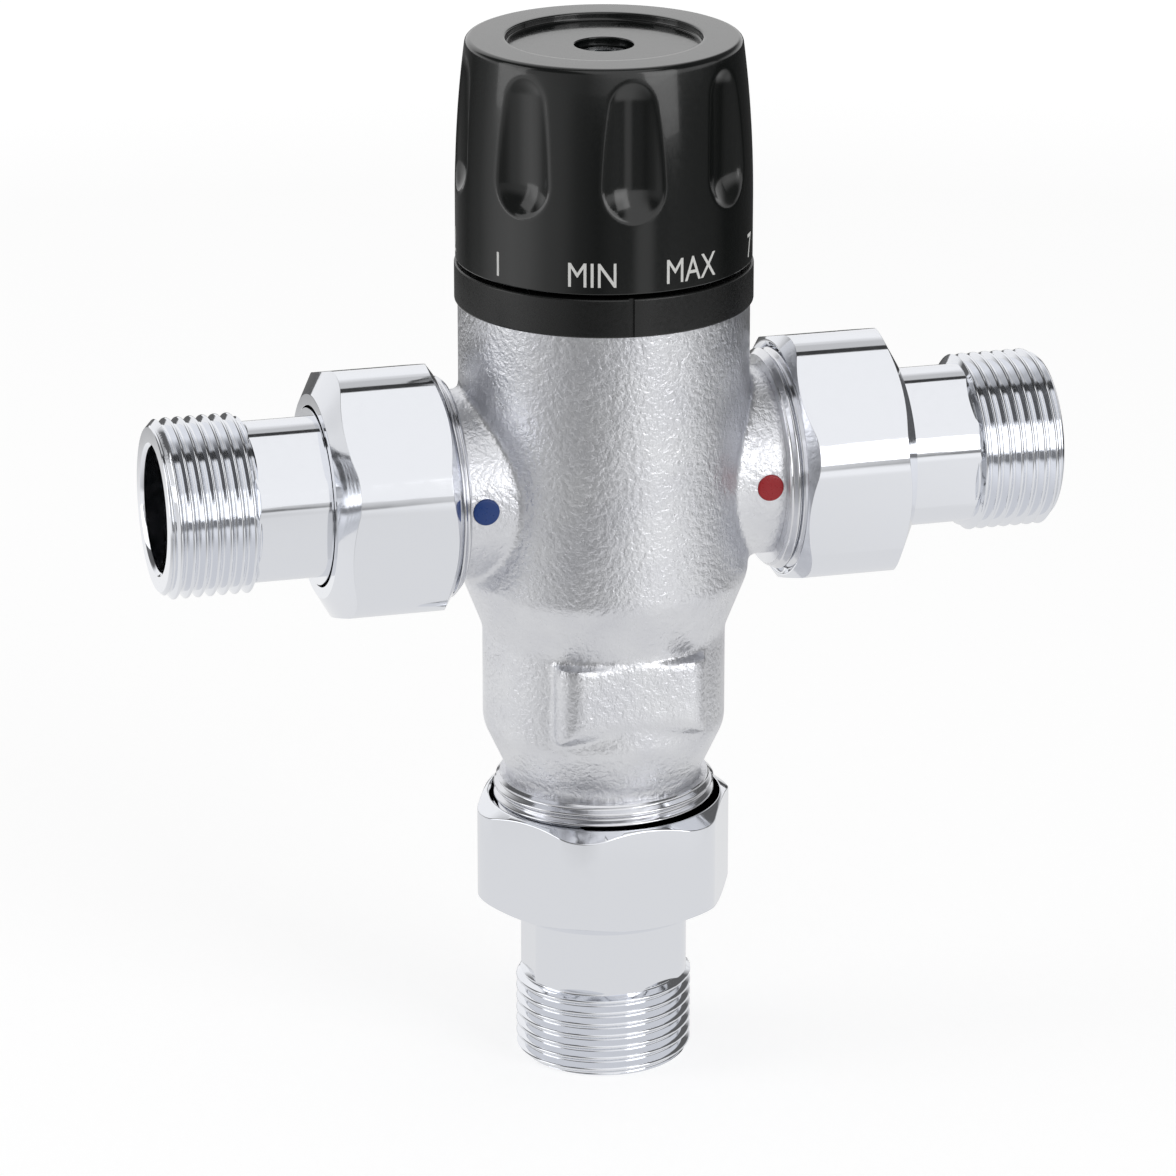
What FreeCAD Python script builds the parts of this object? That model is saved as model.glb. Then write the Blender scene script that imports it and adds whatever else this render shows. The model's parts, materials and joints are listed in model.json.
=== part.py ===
import FreeCAD, Part
import math
import os

import Sketcher

# Thermostatic mixing valve, in millimetres.
#
# The origin is the centre of the outlet tailpiece's end face, +Z runs up the valve's axis to
# the knob, and the two inlets lie on one line along X: cold at -X, hot at +X. -Y is the front,
# where the casting has its bare plate and its two colour markers.
#
# Levels named "..._above" and "..._below" are measured from the line of the inlets.

SIZES = {
    # Union nut
    "nut_length": 17.6,
    "nut_flats": 36.0,
    "nut_corner_radius": 20.6,
    "nut_lip": 3.4,
    "nut_mouth_radius": 17.6,
    "nut_mouth_chamfer": 2.1,
    "nut_back_radius": 15.0,
    "nut_back_chamfer": 3.2,
    # Tailpiece
    "tail_stickout": 23.9,
    "tail_radius": 13.22,
    "shank_radius": 13.0,
    "tail_bore": 9.28,
    "tail_hex_flats": 23.5,
    "tail_hex_length": 9.9,
    "tail_hex_setback": 0.3,
    "tail_end_chamfer": 1.0,
    "relief_width": 0.7,
    "relief_depth": 1.0,
    "tail_bore_chamfer": 0.5,
    "flange_radius": 15.2,
    "flange_thickness": 3.0,
    # Gasket
    "gasket_thickness": 2.0,
    "gasket_inner": 10.0,
    "gasket_outer": 15.1,
    # Clearances
    "thread_play": 0.05,
    "shank_play": 0.13,
    "face_play": 0.05,
    "slide_play": 0.05,
    "seal_play": 0.02,
    # Casting, outside
    "collar_radius": 16.5,
    "collar_chamfer": 0.8,
    "inlet_neck_length": 2.6,
    "inlet_collar_length": 11.35,
    "outlet_collar_below": 46.8,
    "outlet_collar_length": 12.45,
    "collar_root_step": 0.9,
    "body_radius": 21.4,
    "body_top_above": 26.9,
    "taper_start_below": 14.8,
    "taper_end_below": 23.3,
    "waist_radius": 18.05,
    "waist_end_below": 38.3,
    "neck_radius": 14.6,
    "neck_below": 45.7,
    "arm_radius": 14.0,
    "arm_fillet": 1.2,
    "waist_fillet": 5.0,
    "plate_width": 23.0,
    "plate_top_below": 24.5,
    "plate_bottom_below": 36.5,
    "plate_stand": 0.25,
    "plate_root": 6.0,
    "plate_fillet": 0.6,
    # Casting, inside
    "annulus_radius": 16.0,
    "land_radius": 12.0,
    "land_half": 3.0,
    "seat_level": 10.0,
    "seat_lip_height": 1.0,
    "seat_lip_radius": 12.6,
    "seat_bore": 10.5,
    "seat_web": 3.0,
    "chamber_radius": 13.0,
    "chamber_floor_below": 36.0,
    "outlet_bore": 9.3,
    "arm_bore": 11.0,
    "arm_shoulder_bore": 9.0,
    "arm_web": 2.5,
    "arm_shoulder_depth": 1.7,
    "port_radius": 8.6,
    "port_chord": 3.8,
    # Bonnet
    "bonnet_radius": 17.3,
    "bonnet_bottom_above": 12.3,
    "bonnet_flange_setback": 1.8,
    "bonnet_flange_thickness": 3.0,
    "bonnet_neck_radius": 9.5,
    "bonnet_top_above": 40.0,
    "nose_radius": 13.2,
    "nose_bore": 10.8,
    "guide_flats": 18.0,
    "guide_top_above": 28.0,
    "collar_room_radius": 9.2,
    "collar_room_top_above": 30.5,
    "bonnet_groove_above": 22.6,
    "bonnet_groove_width": 2.2,
    "bonnet_groove_depth": 1.75,
    # Spindle
    "spindle_radius": 6.0,
    "spindle_collar_radius": 8.8,
    "spindle_collar_thickness": 2.2,
    "spindle_screw_radius": 5.0,
    "spindle_screw_end_above": 18.0,
    "spindle_groove_above": 34.0,
    "spindle_groove_width": 1.6,
    "spindle_groove_depth": 1.1,
    "clip_thickness": 0.9,
    "clip_groove_radius": 5.2,
    "clip_radius": 8.0,
    "drive_start_above": 41.8,
    "drive_end_above": 50.0,
    "drive_flats": 9.5,
    "screw_radius": 2.0,
    "screw_hole_depth": 10.5,
    # Regulating nut, overtravel spring and cap
    "pusher_bottom_above": 13.0,
    "pusher_top_above": 24.0,
    "pusher_cavity_radius": 7.0,
    "pusher_cavity_top_above": 18.5,
    "pusher_clip_radius": 7.6,
    "pusher_clip_bore": 5.2,
    "pusher_clip_thickness": 0.7,
    "pusher_clip_setback": 0.3,
    "cap_plate_thickness": 1.2,
    "cap_boss_radius": 3.5,
    "cap_bottom_above": 11.6,
    "overtravel_wire_radius": 0.45,
    # Wax element
    "pin_radius": 1.5,
    "pin_bottom_above": 3.0,
    "element_neck_radius": 3.6,
    "element_neck_top_above": 7.0,
    "element_flange_radius": 7.4,
    "element_flange_thickness": 2.2,
    "bulb_radius": 6.0,
    "bulb_end_below": 26.0,
    "bulb_chamfer": 1.6,
    # Shutter
    "shutter_gap": 1.7,
    "shutter_bore": 10.6,
    "shutter_upper_bore": 9.8,
    "hub_top_below": 3.0,
    "hub_thickness": 2.0,
    "hub_radius": 8.0,
    "hub_arm_width": 2.6,
    "shutter_groove_width": 1.3,
    "shutter_groove_depth": 0.85,
    # Return spring
    "return_mean_radius": 9.7,
    "return_wire_radius": 0.6,
    # Knob, its screw and the ring under it
    "ring_proud": 0.19,
    "ring_play": 0.25,
    "ring_top_above": 32.7,
    "ring_crown_lip": 1.85,
    "ring_web_width": 4.85,
    "ring_web_thickness": 1.5,
    "ring_notch_width": 0.8,
    "ring_notch_depth": 0.5,
    "knob_gap": 0.6,
    "knob_proud": 0.3,
    "knob_skirt_top_above": 42.0,
    "knob_taper": 1.6,
    "knob_top_above": 66.0,
    "knob_crown_radius": 181.0,
    "knob_edge_fillet": 0.9,
    "knob_wall": 3.0,
    "knob_roof": 3.2,
    "knob_recess_radius": 14.3,
    "knob_recess_depth": 1.2,
    "hub_outer_radius": 9.0,
    "hub_bottom_above": 42.2,
    "hub_screw_seat_above": 61.0,
    "knob_screw_hole": 4.3,
    "knob_screw_head": 3.6,
    "knob_screw_head_height": 2.6,
    "knob_screw_drive": 1.5,
    "flute_radius": 8.0,
    "flute_depth": 2.0,
    "flute_bottom_above": 46.8,
    "flute_top_above": 60.7,
    # Check valve cartridges in the inlets
    "cartridge_radius": 10.95,
    "cartridge_bore": 9.4,
    "cartridge_end_play": 0.1,
    "cartridge_end_gap": 0.15,
    "cartridge_seat_bore": 6.0,
    "cartridge_seat_thickness": 3.0,
    "cartridge_groove_width": 1.4,
    "cartridge_groove_depth": 1.05,
    "poppet_radius": 8.0,
    "poppet_thickness": 1.8,
    "poppet_stem_radius": 1.4,
    "poppet_stem_inset": 1.5,
    "poppet_nose_radius": 5.4,
    "poppet_nose_length": 1.6,
    "poppet_seal_thickness": 0.75,
    "poppet_seal_outer": 7.8,
    "guide_ring_inner": 7.8,
    "guide_hub_radius": 3.2,
    "guide_thickness": 2.2,
    "guide_arm_width": 2.0,
    "check_spring_radius": 2.6,
    "check_wire_radius": 0.3,
    # Strainers in the inlet tailpieces
    "strainer_rim_radius": 10.3,
    "strainer_rim_thickness": 0.8,
    "strainer_radius": 8.9,
    "strainer_wall": 0.5,
    "strainer_length": 11.0,
    "strainer_slot_width": 3.6,
    "strainer_slot_end_margin": 1.6,
    "strainer_hole_radius": 1.3,
    "strainer_hole_circle": 5.2,
    # Colour markers
    "marker_radius": 2.0,
    "marker_setback": 2.5,
    "marker_depth": 0.9,
    "marker_stand": 0.35,
}

FLUTE_COUNT = 8
HUB_ARMS = 4
GUIDE_ARMS = 3
STRAINER_SLOTS = 8
STRAINER_HOLES = 6
CLIP_OPEN_ANGLE = 60
RETURN_TURNS = 5
CHECK_TURNS = 4
OVERTRAVEL_TURNS = 2
WIRE_SIDES = 6
DIAL_TURN = -4      # how far the knob and its drive are turned about the axis, in degrees
NOTCH_TURN = -95    # where the ring's setting notch lies about the axis, in degrees

# Each port: the direction it leaves the casting, as a turn about Y of a piece built along +Z,
# and how its nut and its tailpiece happen to be turned about their own axis when tightened.
PORTS = {
    "cold": {"turn": -90, "nut_angle": -13, "tail_angle": -12},
    "hot": {"turn": 90, "nut_angle": 13, "tail_angle": 12},
    "mixed": {"turn": 180, "nut_angle": -5, "tail_angle": 30},
}


class Size:
    """A length as a number together with the spreadsheet formula that drives it."""

    def __init__(self, formula, number):
        self.formula = formula
        self.number = number

    def joined(self, sign, other, number):
        return Size("(%s %s %s)" % (self.formula, sign, as_size(other).formula), number)

    def __add__(self, other):
        return self.joined("+", other, self.number + as_size(other).number)

    def __sub__(self, other):
        return self.joined("-", other, self.number - as_size(other).number)

    def __mul__(self, factor):
        return self.joined("*", factor, self.number * factor)

    def __neg__(self):
        return self * -1


def as_size(value):
    return value if isinstance(value, Size) else Size("%.9g" % value, value)


doc = FreeCAD.newDocument("mixing_valve")
sheet = doc.addObject("Spreadsheet::Sheet", "Sizes")
size = {}
for row, (alias, number) in enumerate(SIZES.items(), start=1):
    sheet.set("A%d" % row, alias)
    sheet.set("B%d" % row, str(number))
    sheet.setAlias("B%d" % row, alias)
    size[alias] = Size("Sizes." + alias, number)
doc.recompute()

ZERO = Size("0", 0.0)
nodes = []


def bind(item, prop, amount):
    item.setExpression(prop, as_size(amount).formula)


def new_body(name):
    body = doc.addObject("PartDesign::Body", name)
    body.Label = name
    nodes.append(body)
    return body


def new_sketch(body, role, shift=(0, 0, 0)):
    plane = [item for item in body.Origin.OriginFeatures if item.Role == role][0]
    sketch = body.newObject("Sketcher::SketchObject", body.Label + "_sketch")
    sketch.AttachmentSupport = [(plane, "")]
    sketch.MapMode = "FlatFace"
    for axis, amount in zip("xyz", shift):
        bind(sketch, "AttachmentOffset.Base." + axis, amount)
    return sketch


def fix(sketch, kind, amount, *elements):
    """Adds a dimension to a sketch and drives it from the sheet."""
    amount = as_size(amount)
    number = sketch.addConstraint(Sketcher.Constraint(kind, *elements, amount.number))
    sketch.setExpression("Constraints[%d]" % number, amount.formula)


def curve_between(start, end, radius):
    """The line or arc between two corners. A positive radius has its centre on the left."""
    if radius is None:
        return Part.LineSegment(start, end), 1, 2
    chord = end - start
    rise = math.sqrt(radius.number ** 2 - chord.Length ** 2 / 4)
    left = FreeCAD.Vector(-chord.y, chord.x, 0).normalize()
    centre = (start + end) * 0.5 + left * math.copysign(rise, radius.number)
    circle = Part.Circle(centre, FreeCAD.Vector(0, 0, 1), abs(radius.number))
    angles = [math.atan2(p.y - centre.y, p.x - centre.x) for p in (start, end)]
    if radius.number > 0:
        return Part.ArcOfCircle(circle, *angles), 1, 2
    return Part.ArcOfCircle(circle, *reversed(angles)), 2, 1


def outline(sketch, corners):
    """A closed outline. A corner is (x, y), or (x, y, radius) where an arc leads up to it."""
    points = [FreeCAD.Vector(as_size(c[0]).number, as_size(c[1]).number, 0) for c in corners]
    ends = []
    for index, start in enumerate(points):
        after = (index + 1) % len(points)
        radius = as_size(corners[after][2]) if len(corners[after]) > 2 else None
        curve, start_end, stop_end = curve_between(start, points[after], radius)
        number = sketch.addGeometry(curve, False)
        ends.append((number, start_end, stop_end))
        if radius is not None:
            fix(sketch, "Radius", Size("abs(%s)" % radius.formula, abs(radius.number)), number)
    for index, (number, start_end, stop_end) in enumerate(ends):
        after = ends[(index + 1) % len(ends)]
        sketch.addConstraint(Sketcher.Constraint("Coincident", number, stop_end, after[0], after[1]))
    for (number, start_end, stop_end), corner in zip(ends, corners):
        fix(sketch, "DistanceX", corner[0], -1, 1, number, start_end)
        fix(sketch, "DistanceY", corner[1], -1, 1, number, start_end)


def add_circle(sketch, x, y, radius):
    centre = FreeCAD.Vector(as_size(x).number, as_size(y).number, 0)
    circle = Part.Circle(centre, FreeCAD.Vector(0, 0, 1), as_size(radius).number)
    number = sketch.addGeometry(circle, False)
    fix(sketch, "Radius", radius, number)
    fix(sketch, "DistanceX", x, -1, 1, number, 3)
    fix(sketch, "DistanceY", y, -1, 1, number, 3)


def rectangle(x_low, x_high, y_low, y_high):
    return [(x_low, y_low), (x_high, y_low), (x_high, y_high), (x_low, y_high)]


def hexagon(flats, angle=0):
    """Six corners of a hexagon, the first one at this angle."""
    corners = []
    for step in range(6):
        turn = math.radians(angle + 60 * step)
        reach = 0.5 / math.cos(math.pi / 6)
        corners.append((flats * (reach * math.cos(turn)), flats * (reach * math.sin(turn))))
    return corners


def revolve(body, corners, cut=False, axis="V_Axis", shift=(0, 0, 0), angle=360):
    """A turned form: an outline in the XZ plane swung about one of its sketch's own axes."""
    sketch = new_sketch(body, "XZ_Plane", shift)
    outline(sketch, corners)
    kind = "PartDesign::Groove" if cut else "PartDesign::Revolution"
    feature = body.newObject(kind, body.Label + ("_groove" if cut else "_turned"))
    feature.Profile = sketch
    feature.ReferenceAxis = (sketch, [axis])
    feature.Angle = angle
    doc.recompute()
    return feature


def extrude(body, sketch, length, cut=False, reverse=False):
    """A pad or a pocket of this sketch. A pad runs along the sketch's normal, a pocket against."""
    kind = "PartDesign::Pocket" if cut else "PartDesign::Pad"
    feature = body.newObject(kind, body.Label + ("_pocket" if cut else "_pad"))
    feature.Profile = sketch
    feature.Reversed = reverse
    bind(feature, "Length", length)
    doc.recompute()
    return feature


def repeat_around(body, feature, count, role="Z_Axis"):
    pattern = body.newObject("PartDesign::PolarPattern", body.Label + "_pattern")
    pattern.Originals = [feature]
    axis = [item for item in body.Origin.OriginFeatures if item.Role == role][0]
    pattern.Axis = (axis, [""])
    pattern.Angle = 360
    pattern.Occurrences = count
    body.Tip = pattern
    doc.recompute()
    return pattern


def round_edges(body, feature, radius, wanted):
    """Rounds the edges of a feature for which wanted(edge) is true."""
    edges = ["Edge%d" % (i + 1) for i, edge in enumerate(feature.Shape.Edges) if wanted(edge)]
    fillet = body.newObject("PartDesign::Fillet", body.Label + "_fillet")
    fillet.Base = (feature, edges)
    bind(fillet, "Radius", radius)
    doc.recompute()
    return fillet


def is_ring(radius, level):
    """Picks the full circles of this radius about Z at this height."""
    def wanted(edge):
        curve = edge.Curve
        return (isinstance(curve, Part.Circle) and abs(curve.Radius - radius.number) < 0.001
                and abs(curve.Center.z - level.number) < 0.001
                and math.hypot(curve.Center.x, curve.Center.y) < 0.001)
    return wanted


def place(item, x=0, z=0, turn_y=0, turn_z=0):
    """Turns a piece about Z and then about Y, and moves it to its place in the valve."""
    about_y = FreeCAD.Rotation(FreeCAD.Vector(0, 1, 0), turn_y)
    about_z = FreeCAD.Rotation(FreeCAD.Vector(0, 0, 1), turn_z)
    item.Placement = FreeCAD.Placement(FreeCAD.Vector(0, 0, 0), about_y * about_z)
    bind(item, "Placement.Base.x", x)
    bind(item, "Placement.Base.z", z)


def turned_piece(name, corners, angle=360):
    """A piece of the valve's main axis that is one turned form."""
    body = new_body(name)
    revolve(body, corners, angle=angle)
    place(body, z=inlet_level)
    return body


def o_ring(name, inner, outer):
    """A seal ring in the radial room between two walls, centred on its own plane.

    It has the six-sided form that a round ring is pressed to between the walls of its groove.
    """
    near = inner + s["seal_play"]
    far = outer - s["seal_play"]
    middle = (near + far) * 0.5
    flat = (far - near) * 0.25
    body = new_body(name)
    revolve(body, [(near, -flat), (middle, -(flat * 2)), (far, -flat),
                   (far, flat), (middle, flat * 2), (near, flat)])
    return body


def coil(name, mean_radius, wire_radius, start, end, turns):
    """A compression spring that fills the room from start to end, built along +Z from its start.

    Its wire is round on the real spring, and has flat sides here.
    """
    radius = mean_radius.number
    wire = wire_radius.number
    height = end.number - start.number - 2 * wire
    path = Part.Wire(Part.makeLongHelix(height / turns, height, radius))
    first_turn = path.Edges[0]
    foot = first_turn.valueAt(first_turn.FirstParameter)
    along_wire = first_turn.tangentAt(first_turn.FirstParameter)
    rim = Part.Circle(foot, along_wire, wire)
    section = Part.makePolygon([rim.value(2 * math.pi * i / WIRE_SIDES) for i in range(WIRE_SIDES + 1)])
    spring = doc.addObject("Part::Feature", name)
    spring.Label = name
    spring.Shape = path.makePipeShell([section], True, True)
    nodes.append(spring)
    return spring


# Distances that several pieces share ---------------------------------------------------------

s = size

# Along a port, outwards from the face of the casting's collar that the gasket seals on.
flange_face = s["gasket_thickness"]
flange_back = flange_face + s["flange_thickness"]
lip_face = flange_back + s["face_play"]
nut_back = lip_face + s["nut_lip"]
nut_mouth = nut_back - s["nut_length"]
tail_end = nut_back + s["tail_stickout"]
hex_start = nut_back + s["tail_hex_setback"]
hex_end = hex_start + s["tail_hex_length"]

# From the valve's axis, or from the line of the inlets, to that face.
inlet_collar_start = s["body_radius"] + s["inlet_neck_length"]
inlet_seat = inlet_collar_start + s["inlet_collar_length"]
outlet_seat = s["outlet_collar_below"] + s["outlet_collar_length"]
inlet_level = outlet_seat + tail_end

bonnet_bore = s["bonnet_radius"] + s["thread_play"]
bonnet_seat = s["body_top_above"]
flange_top = bonnet_seat + s["bonnet_flange_thickness"]
bonnet_flange = s["body_radius"] - s["bonnet_flange_setback"]
marker_offset = inlet_collar_start - s["marker_setback"]
shutter_end = s["seat_level"] - s["shutter_gap"]
shutter_radius = s["land_radius"] - s["slide_play"]
hub_bottom = s["hub_top_below"] + s["hub_thickness"]
knob_bottom = s["ring_top_above"] + s["knob_gap"]
skirt_radius = s["body_radius"] + s["knob_proud"]
arm_floor = s["annulus_radius"] + s["arm_web"]
arm_shoulder = arm_floor + s["arm_shoulder_depth"]
cartridge_start = arm_shoulder + s["cartridge_end_play"]
cartridge_end = inlet_seat - s["cartridge_end_gap"]
check_seat = cartridge_end - s["cartridge_seat_thickness"]
poppet_front = check_seat - s["face_play"] - s["poppet_seal_thickness"]
poppet_back = poppet_front - s["poppet_thickness"]
guide_end = cartridge_start + s["guide_thickness"]


def build_valve_body():
    """The one-piece casting with its three collars, bored and ported from every side."""
    body = new_body("valve_body")
    collar = s["collar_radius"]
    chamfer = s["collar_chamfer"]
    step = s["collar_root_step"]
    shell = revolve(body, [
        (0, -outlet_seat),
        (collar - chamfer, -outlet_seat),
        (collar, chamfer - outlet_seat),
        (collar, -s["outlet_collar_below"] - step),
        (collar - step, -s["outlet_collar_below"]),
        (s["neck_radius"], -s["outlet_collar_below"]),
        (s["neck_radius"], -s["neck_below"]),
        (s["waist_radius"], -s["waist_end_below"]),
        (s["waist_radius"], -s["taper_end_below"]),
        (s["body_radius"], -s["taper_start_below"]),
        (s["body_radius"], s["body_top_above"]),
        (0, s["body_top_above"])])
    round_edges(body, shell, s["waist_fillet"], is_ring(s["waist_radius"], -s["waist_end_below"]))
    round_edges(body, body.Tip, s["waist_fillet"], is_ring(s["waist_radius"], -s["taper_end_below"]))
    round_edges(body, body.Tip, s["waist_fillet"], is_ring(s["body_radius"], -s["taper_start_below"]))

    half_arm = [
        (inlet_seat, 0),
        (inlet_seat, collar - chamfer),
        (inlet_seat - chamfer, collar),
        (inlet_collar_start + step, collar),
        (inlet_collar_start, collar - step),
        (inlet_collar_start, s["arm_radius"])]
    other_half = [(-x, y) for x, y in reversed(half_arm)]
    arms = revolve(body, half_arm + other_half, axis="H_Axis")

    def at_arm_root(edge):
        point = edge.valueAt((edge.FirstParameter + edge.LastParameter) / 2)
        return (abs(math.hypot(point.x, point.y) - s["body_radius"].number) < 0.01
                and abs(math.hypot(point.y, point.z) - s["arm_radius"].number) < 0.01)
    round_edges(body, arms, s["arm_fillet"], at_arm_root)

    half_plate = s["plate_width"] * 0.5
    plate_face = s["waist_radius"] + s["plate_stand"]
    plate = new_sketch(body, "XZ_Plane", (0, 0, plate_face))
    outline(plate, rectangle(-half_plate, half_plate, -s["plate_bottom_below"], -s["plate_top_below"]))
    pad = extrude(body, plate, s["plate_root"], reverse=True)

    def at_plate_face(edge):
        return abs(edge.BoundBox.YMin + plate_face.number) < 0.001 and edge.BoundBox.YLength < 0.001
    round_edges(body, pad, s["plate_fillet"], at_plate_face)

    # The main bore: bonnet thread, cold annulus, shutter land, hot annulus, seat, mixing chamber.
    floor = -s["seat_level"] - s["seat_lip_height"]
    web = -s["seat_level"] - s["seat_web"]
    revolve(body, [
        (0, -outlet_seat),
        (s["outlet_bore"], -outlet_seat),
        (s["outlet_bore"], -s["chamber_floor_below"]),
        (s["chamber_radius"], -s["chamber_floor_below"]),
        (s["chamber_radius"], web),
        (s["seat_bore"], web),
        (s["seat_bore"], -s["seat_level"]),
        (s["seat_lip_radius"], -s["seat_level"]),
        (s["seat_lip_radius"], floor),
        (s["annulus_radius"], floor),
        (s["annulus_radius"], -s["land_half"]),
        (s["land_radius"], -s["land_half"]),
        (s["land_radius"], s["land_half"]),
        (s["annulus_radius"], s["land_half"]),
        (s["annulus_radius"], s["bonnet_bottom_above"]),
        (bonnet_bore, s["bonnet_bottom_above"]),
        (bonnet_bore, s["body_top_above"]),
        (0, s["body_top_above"])], cut=True)

    # Each inlet: a stepped bore for the check valve, then a D-shaped port into its own annulus.
    for side in (-1, 1):
        revolve(body, [
            (arm_floor * side, 0),
            (arm_floor * side, s["arm_shoulder_bore"]),
            (arm_shoulder * side, s["arm_shoulder_bore"]),
            (arm_shoulder * side, s["arm_bore"]),
            (inlet_seat * side, s["arm_bore"]),
            (inlet_seat * side, 0)], cut=True, axis="H_Axis")
        cut_port(body, side)
        dimple = new_sketch(body, "XZ_Plane", (0, 0, s["arm_radius"]))
        add_circle(dimple, marker_offset * side, 0, s["marker_radius"])
        extrude(body, dimple, s["marker_depth"], cut=True)
    place(body, z=inlet_level)


def cut_port(body, side):
    """The cold port lies above the shutter's land and the hot port below it."""
    above = -side
    port = new_sketch(body, "YZ_Plane", (0, 0, arm_floor * side))
    half_angle = math.asin(s["port_chord"].number / s["port_radius"].number)
    circle = Part.Circle(FreeCAD.Vector(0, 0, 0), FreeCAD.Vector(0, 0, 1), s["port_radius"].number)
    start, stop = half_angle, math.pi - half_angle
    if above < 0:
        start, stop = start + math.pi, stop + math.pi
    arc = port.addGeometry(Part.ArcOfCircle(circle, start, stop), False)
    chord = [circle.value(angle) for angle in (stop, start)]
    line = port.addGeometry(Part.LineSegment(*chord), False)
    for constraint in (("Coincident", arc, 3, -1, 1), ("Coincident", arc, 2, line, 1),
                       ("Coincident", line, 2, arc, 1), ("Horizontal", line)):
        port.addConstraint(Sketcher.Constraint(*constraint))
    fix(port, "Radius", s["port_radius"], arc)
    fix(port, "DistanceY", s["port_chord"] * above, -1, 1, line, 1)
    extrude(body, port, arm_floor - s["land_radius"] - s["seat_lip_height"], cut=True,
            reverse=side < 0)


def build_bonnet():
    """The turned brass plug that closes the body and carries the spindle."""
    body = new_body("bonnet")
    groove = s["bonnet_groove_above"]
    groove_top = groove + s["bonnet_groove_width"]
    groove_radius = s["bonnet_radius"] - s["bonnet_groove_depth"] + s["thread_play"]
    spindle_bore = s["spindle_radius"] + s["slide_play"]
    nose_top = s["bonnet_bottom_above"]
    revolve(body, [
        (s["nose_bore"], s["seat_level"]),
        (s["nose_radius"], s["seat_level"]),
        (s["nose_radius"], nose_top),
        (s["bonnet_radius"], nose_top),
        (s["bonnet_radius"], groove),
        (groove_radius, groove),
        (groove_radius, groove_top),
        (s["bonnet_radius"], groove_top),
        (s["bonnet_radius"], bonnet_seat),
        (bonnet_flange, bonnet_seat),
        (bonnet_flange, flange_top),
        (s["bonnet_neck_radius"], flange_top),
        (s["bonnet_neck_radius"], s["bonnet_top_above"]),
        (spindle_bore, s["bonnet_top_above"]),
        (spindle_bore, s["collar_room_top_above"]),
        (s["collar_room_radius"], s["collar_room_top_above"]),
        (s["collar_room_radius"], s["guide_top_above"]),
        (spindle_bore, s["guide_top_above"]),
        (spindle_bore, nose_top),
        (s["nose_bore"], nose_top)])
    guide = new_sketch(body, "XY_Plane", (0, 0, s["guide_top_above"]))
    outline(guide, hexagon(s["guide_flats"]))
    extrude(body, guide, s["guide_top_above"] - nose_top, cut=True)
    place(body, z=inlet_level)
    ring = o_ring("bonnet_oring", groove_radius, bonnet_bore)
    place(ring, z=inlet_level + groove + s["bonnet_groove_width"] * 0.5)


def build_spindle():
    """The captive adjusting screw, its seal and the clip that keeps it in the bonnet."""
    body = new_body("spindle")
    groove = s["spindle_groove_above"]
    groove_top = groove + s["spindle_groove_width"]
    groove_radius = s["spindle_radius"] - s["spindle_groove_depth"]
    clip_bottom = s["bonnet_top_above"] + s["face_play"]
    clip_top = clip_bottom + s["clip_thickness"] + s["face_play"]
    collar_top = s["collar_room_top_above"] - s["face_play"]
    collar_bottom = collar_top - s["spindle_collar_thickness"]
    hole_bottom = s["drive_end_above"] - s["screw_hole_depth"]
    revolve(body, [
        (0, s["spindle_screw_end_above"]),
        (s["spindle_screw_radius"], s["spindle_screw_end_above"]),
        (s["spindle_screw_radius"], collar_bottom),
        (s["spindle_collar_radius"], collar_bottom),
        (s["spindle_collar_radius"], collar_top),
        (s["spindle_radius"], collar_top),
        (s["spindle_radius"], groove),
        (groove_radius, groove),
        (groove_radius, groove_top),
        (s["spindle_radius"], groove_top),
        (s["spindle_radius"], clip_bottom),
        (s["clip_groove_radius"], clip_bottom),
        (s["clip_groove_radius"], clip_top),
        (s["spindle_radius"], clip_top),
        (s["spindle_radius"], s["drive_end_above"]),
        (s["screw_radius"], s["drive_end_above"]),
        (s["screw_radius"], hole_bottom),
        (0, hole_bottom)])
    drive = new_sketch(body, "XY_Plane", (0, 0, s["drive_end_above"]))
    outline(drive, hexagon(s["drive_flats"]))
    add_circle(drive, 0, 0, s["spindle_radius"] * 1.5)
    extrude(body, drive, s["drive_end_above"] - s["drive_start_above"], cut=True)
    place(body, z=inlet_level, turn_z=DIAL_TURN)

    ring = o_ring("spindle_oring", groove_radius, s["spindle_radius"] + s["slide_play"])
    place(ring, z=inlet_level + groove + s["spindle_groove_width"] * 0.5)
    turned_piece("spindle_clip", rectangle(
        s["clip_groove_radius"] + s["seal_play"], s["clip_radius"],
        clip_bottom, clip_bottom + s["clip_thickness"]), angle=360 - CLIP_OPEN_ANGLE)


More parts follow.
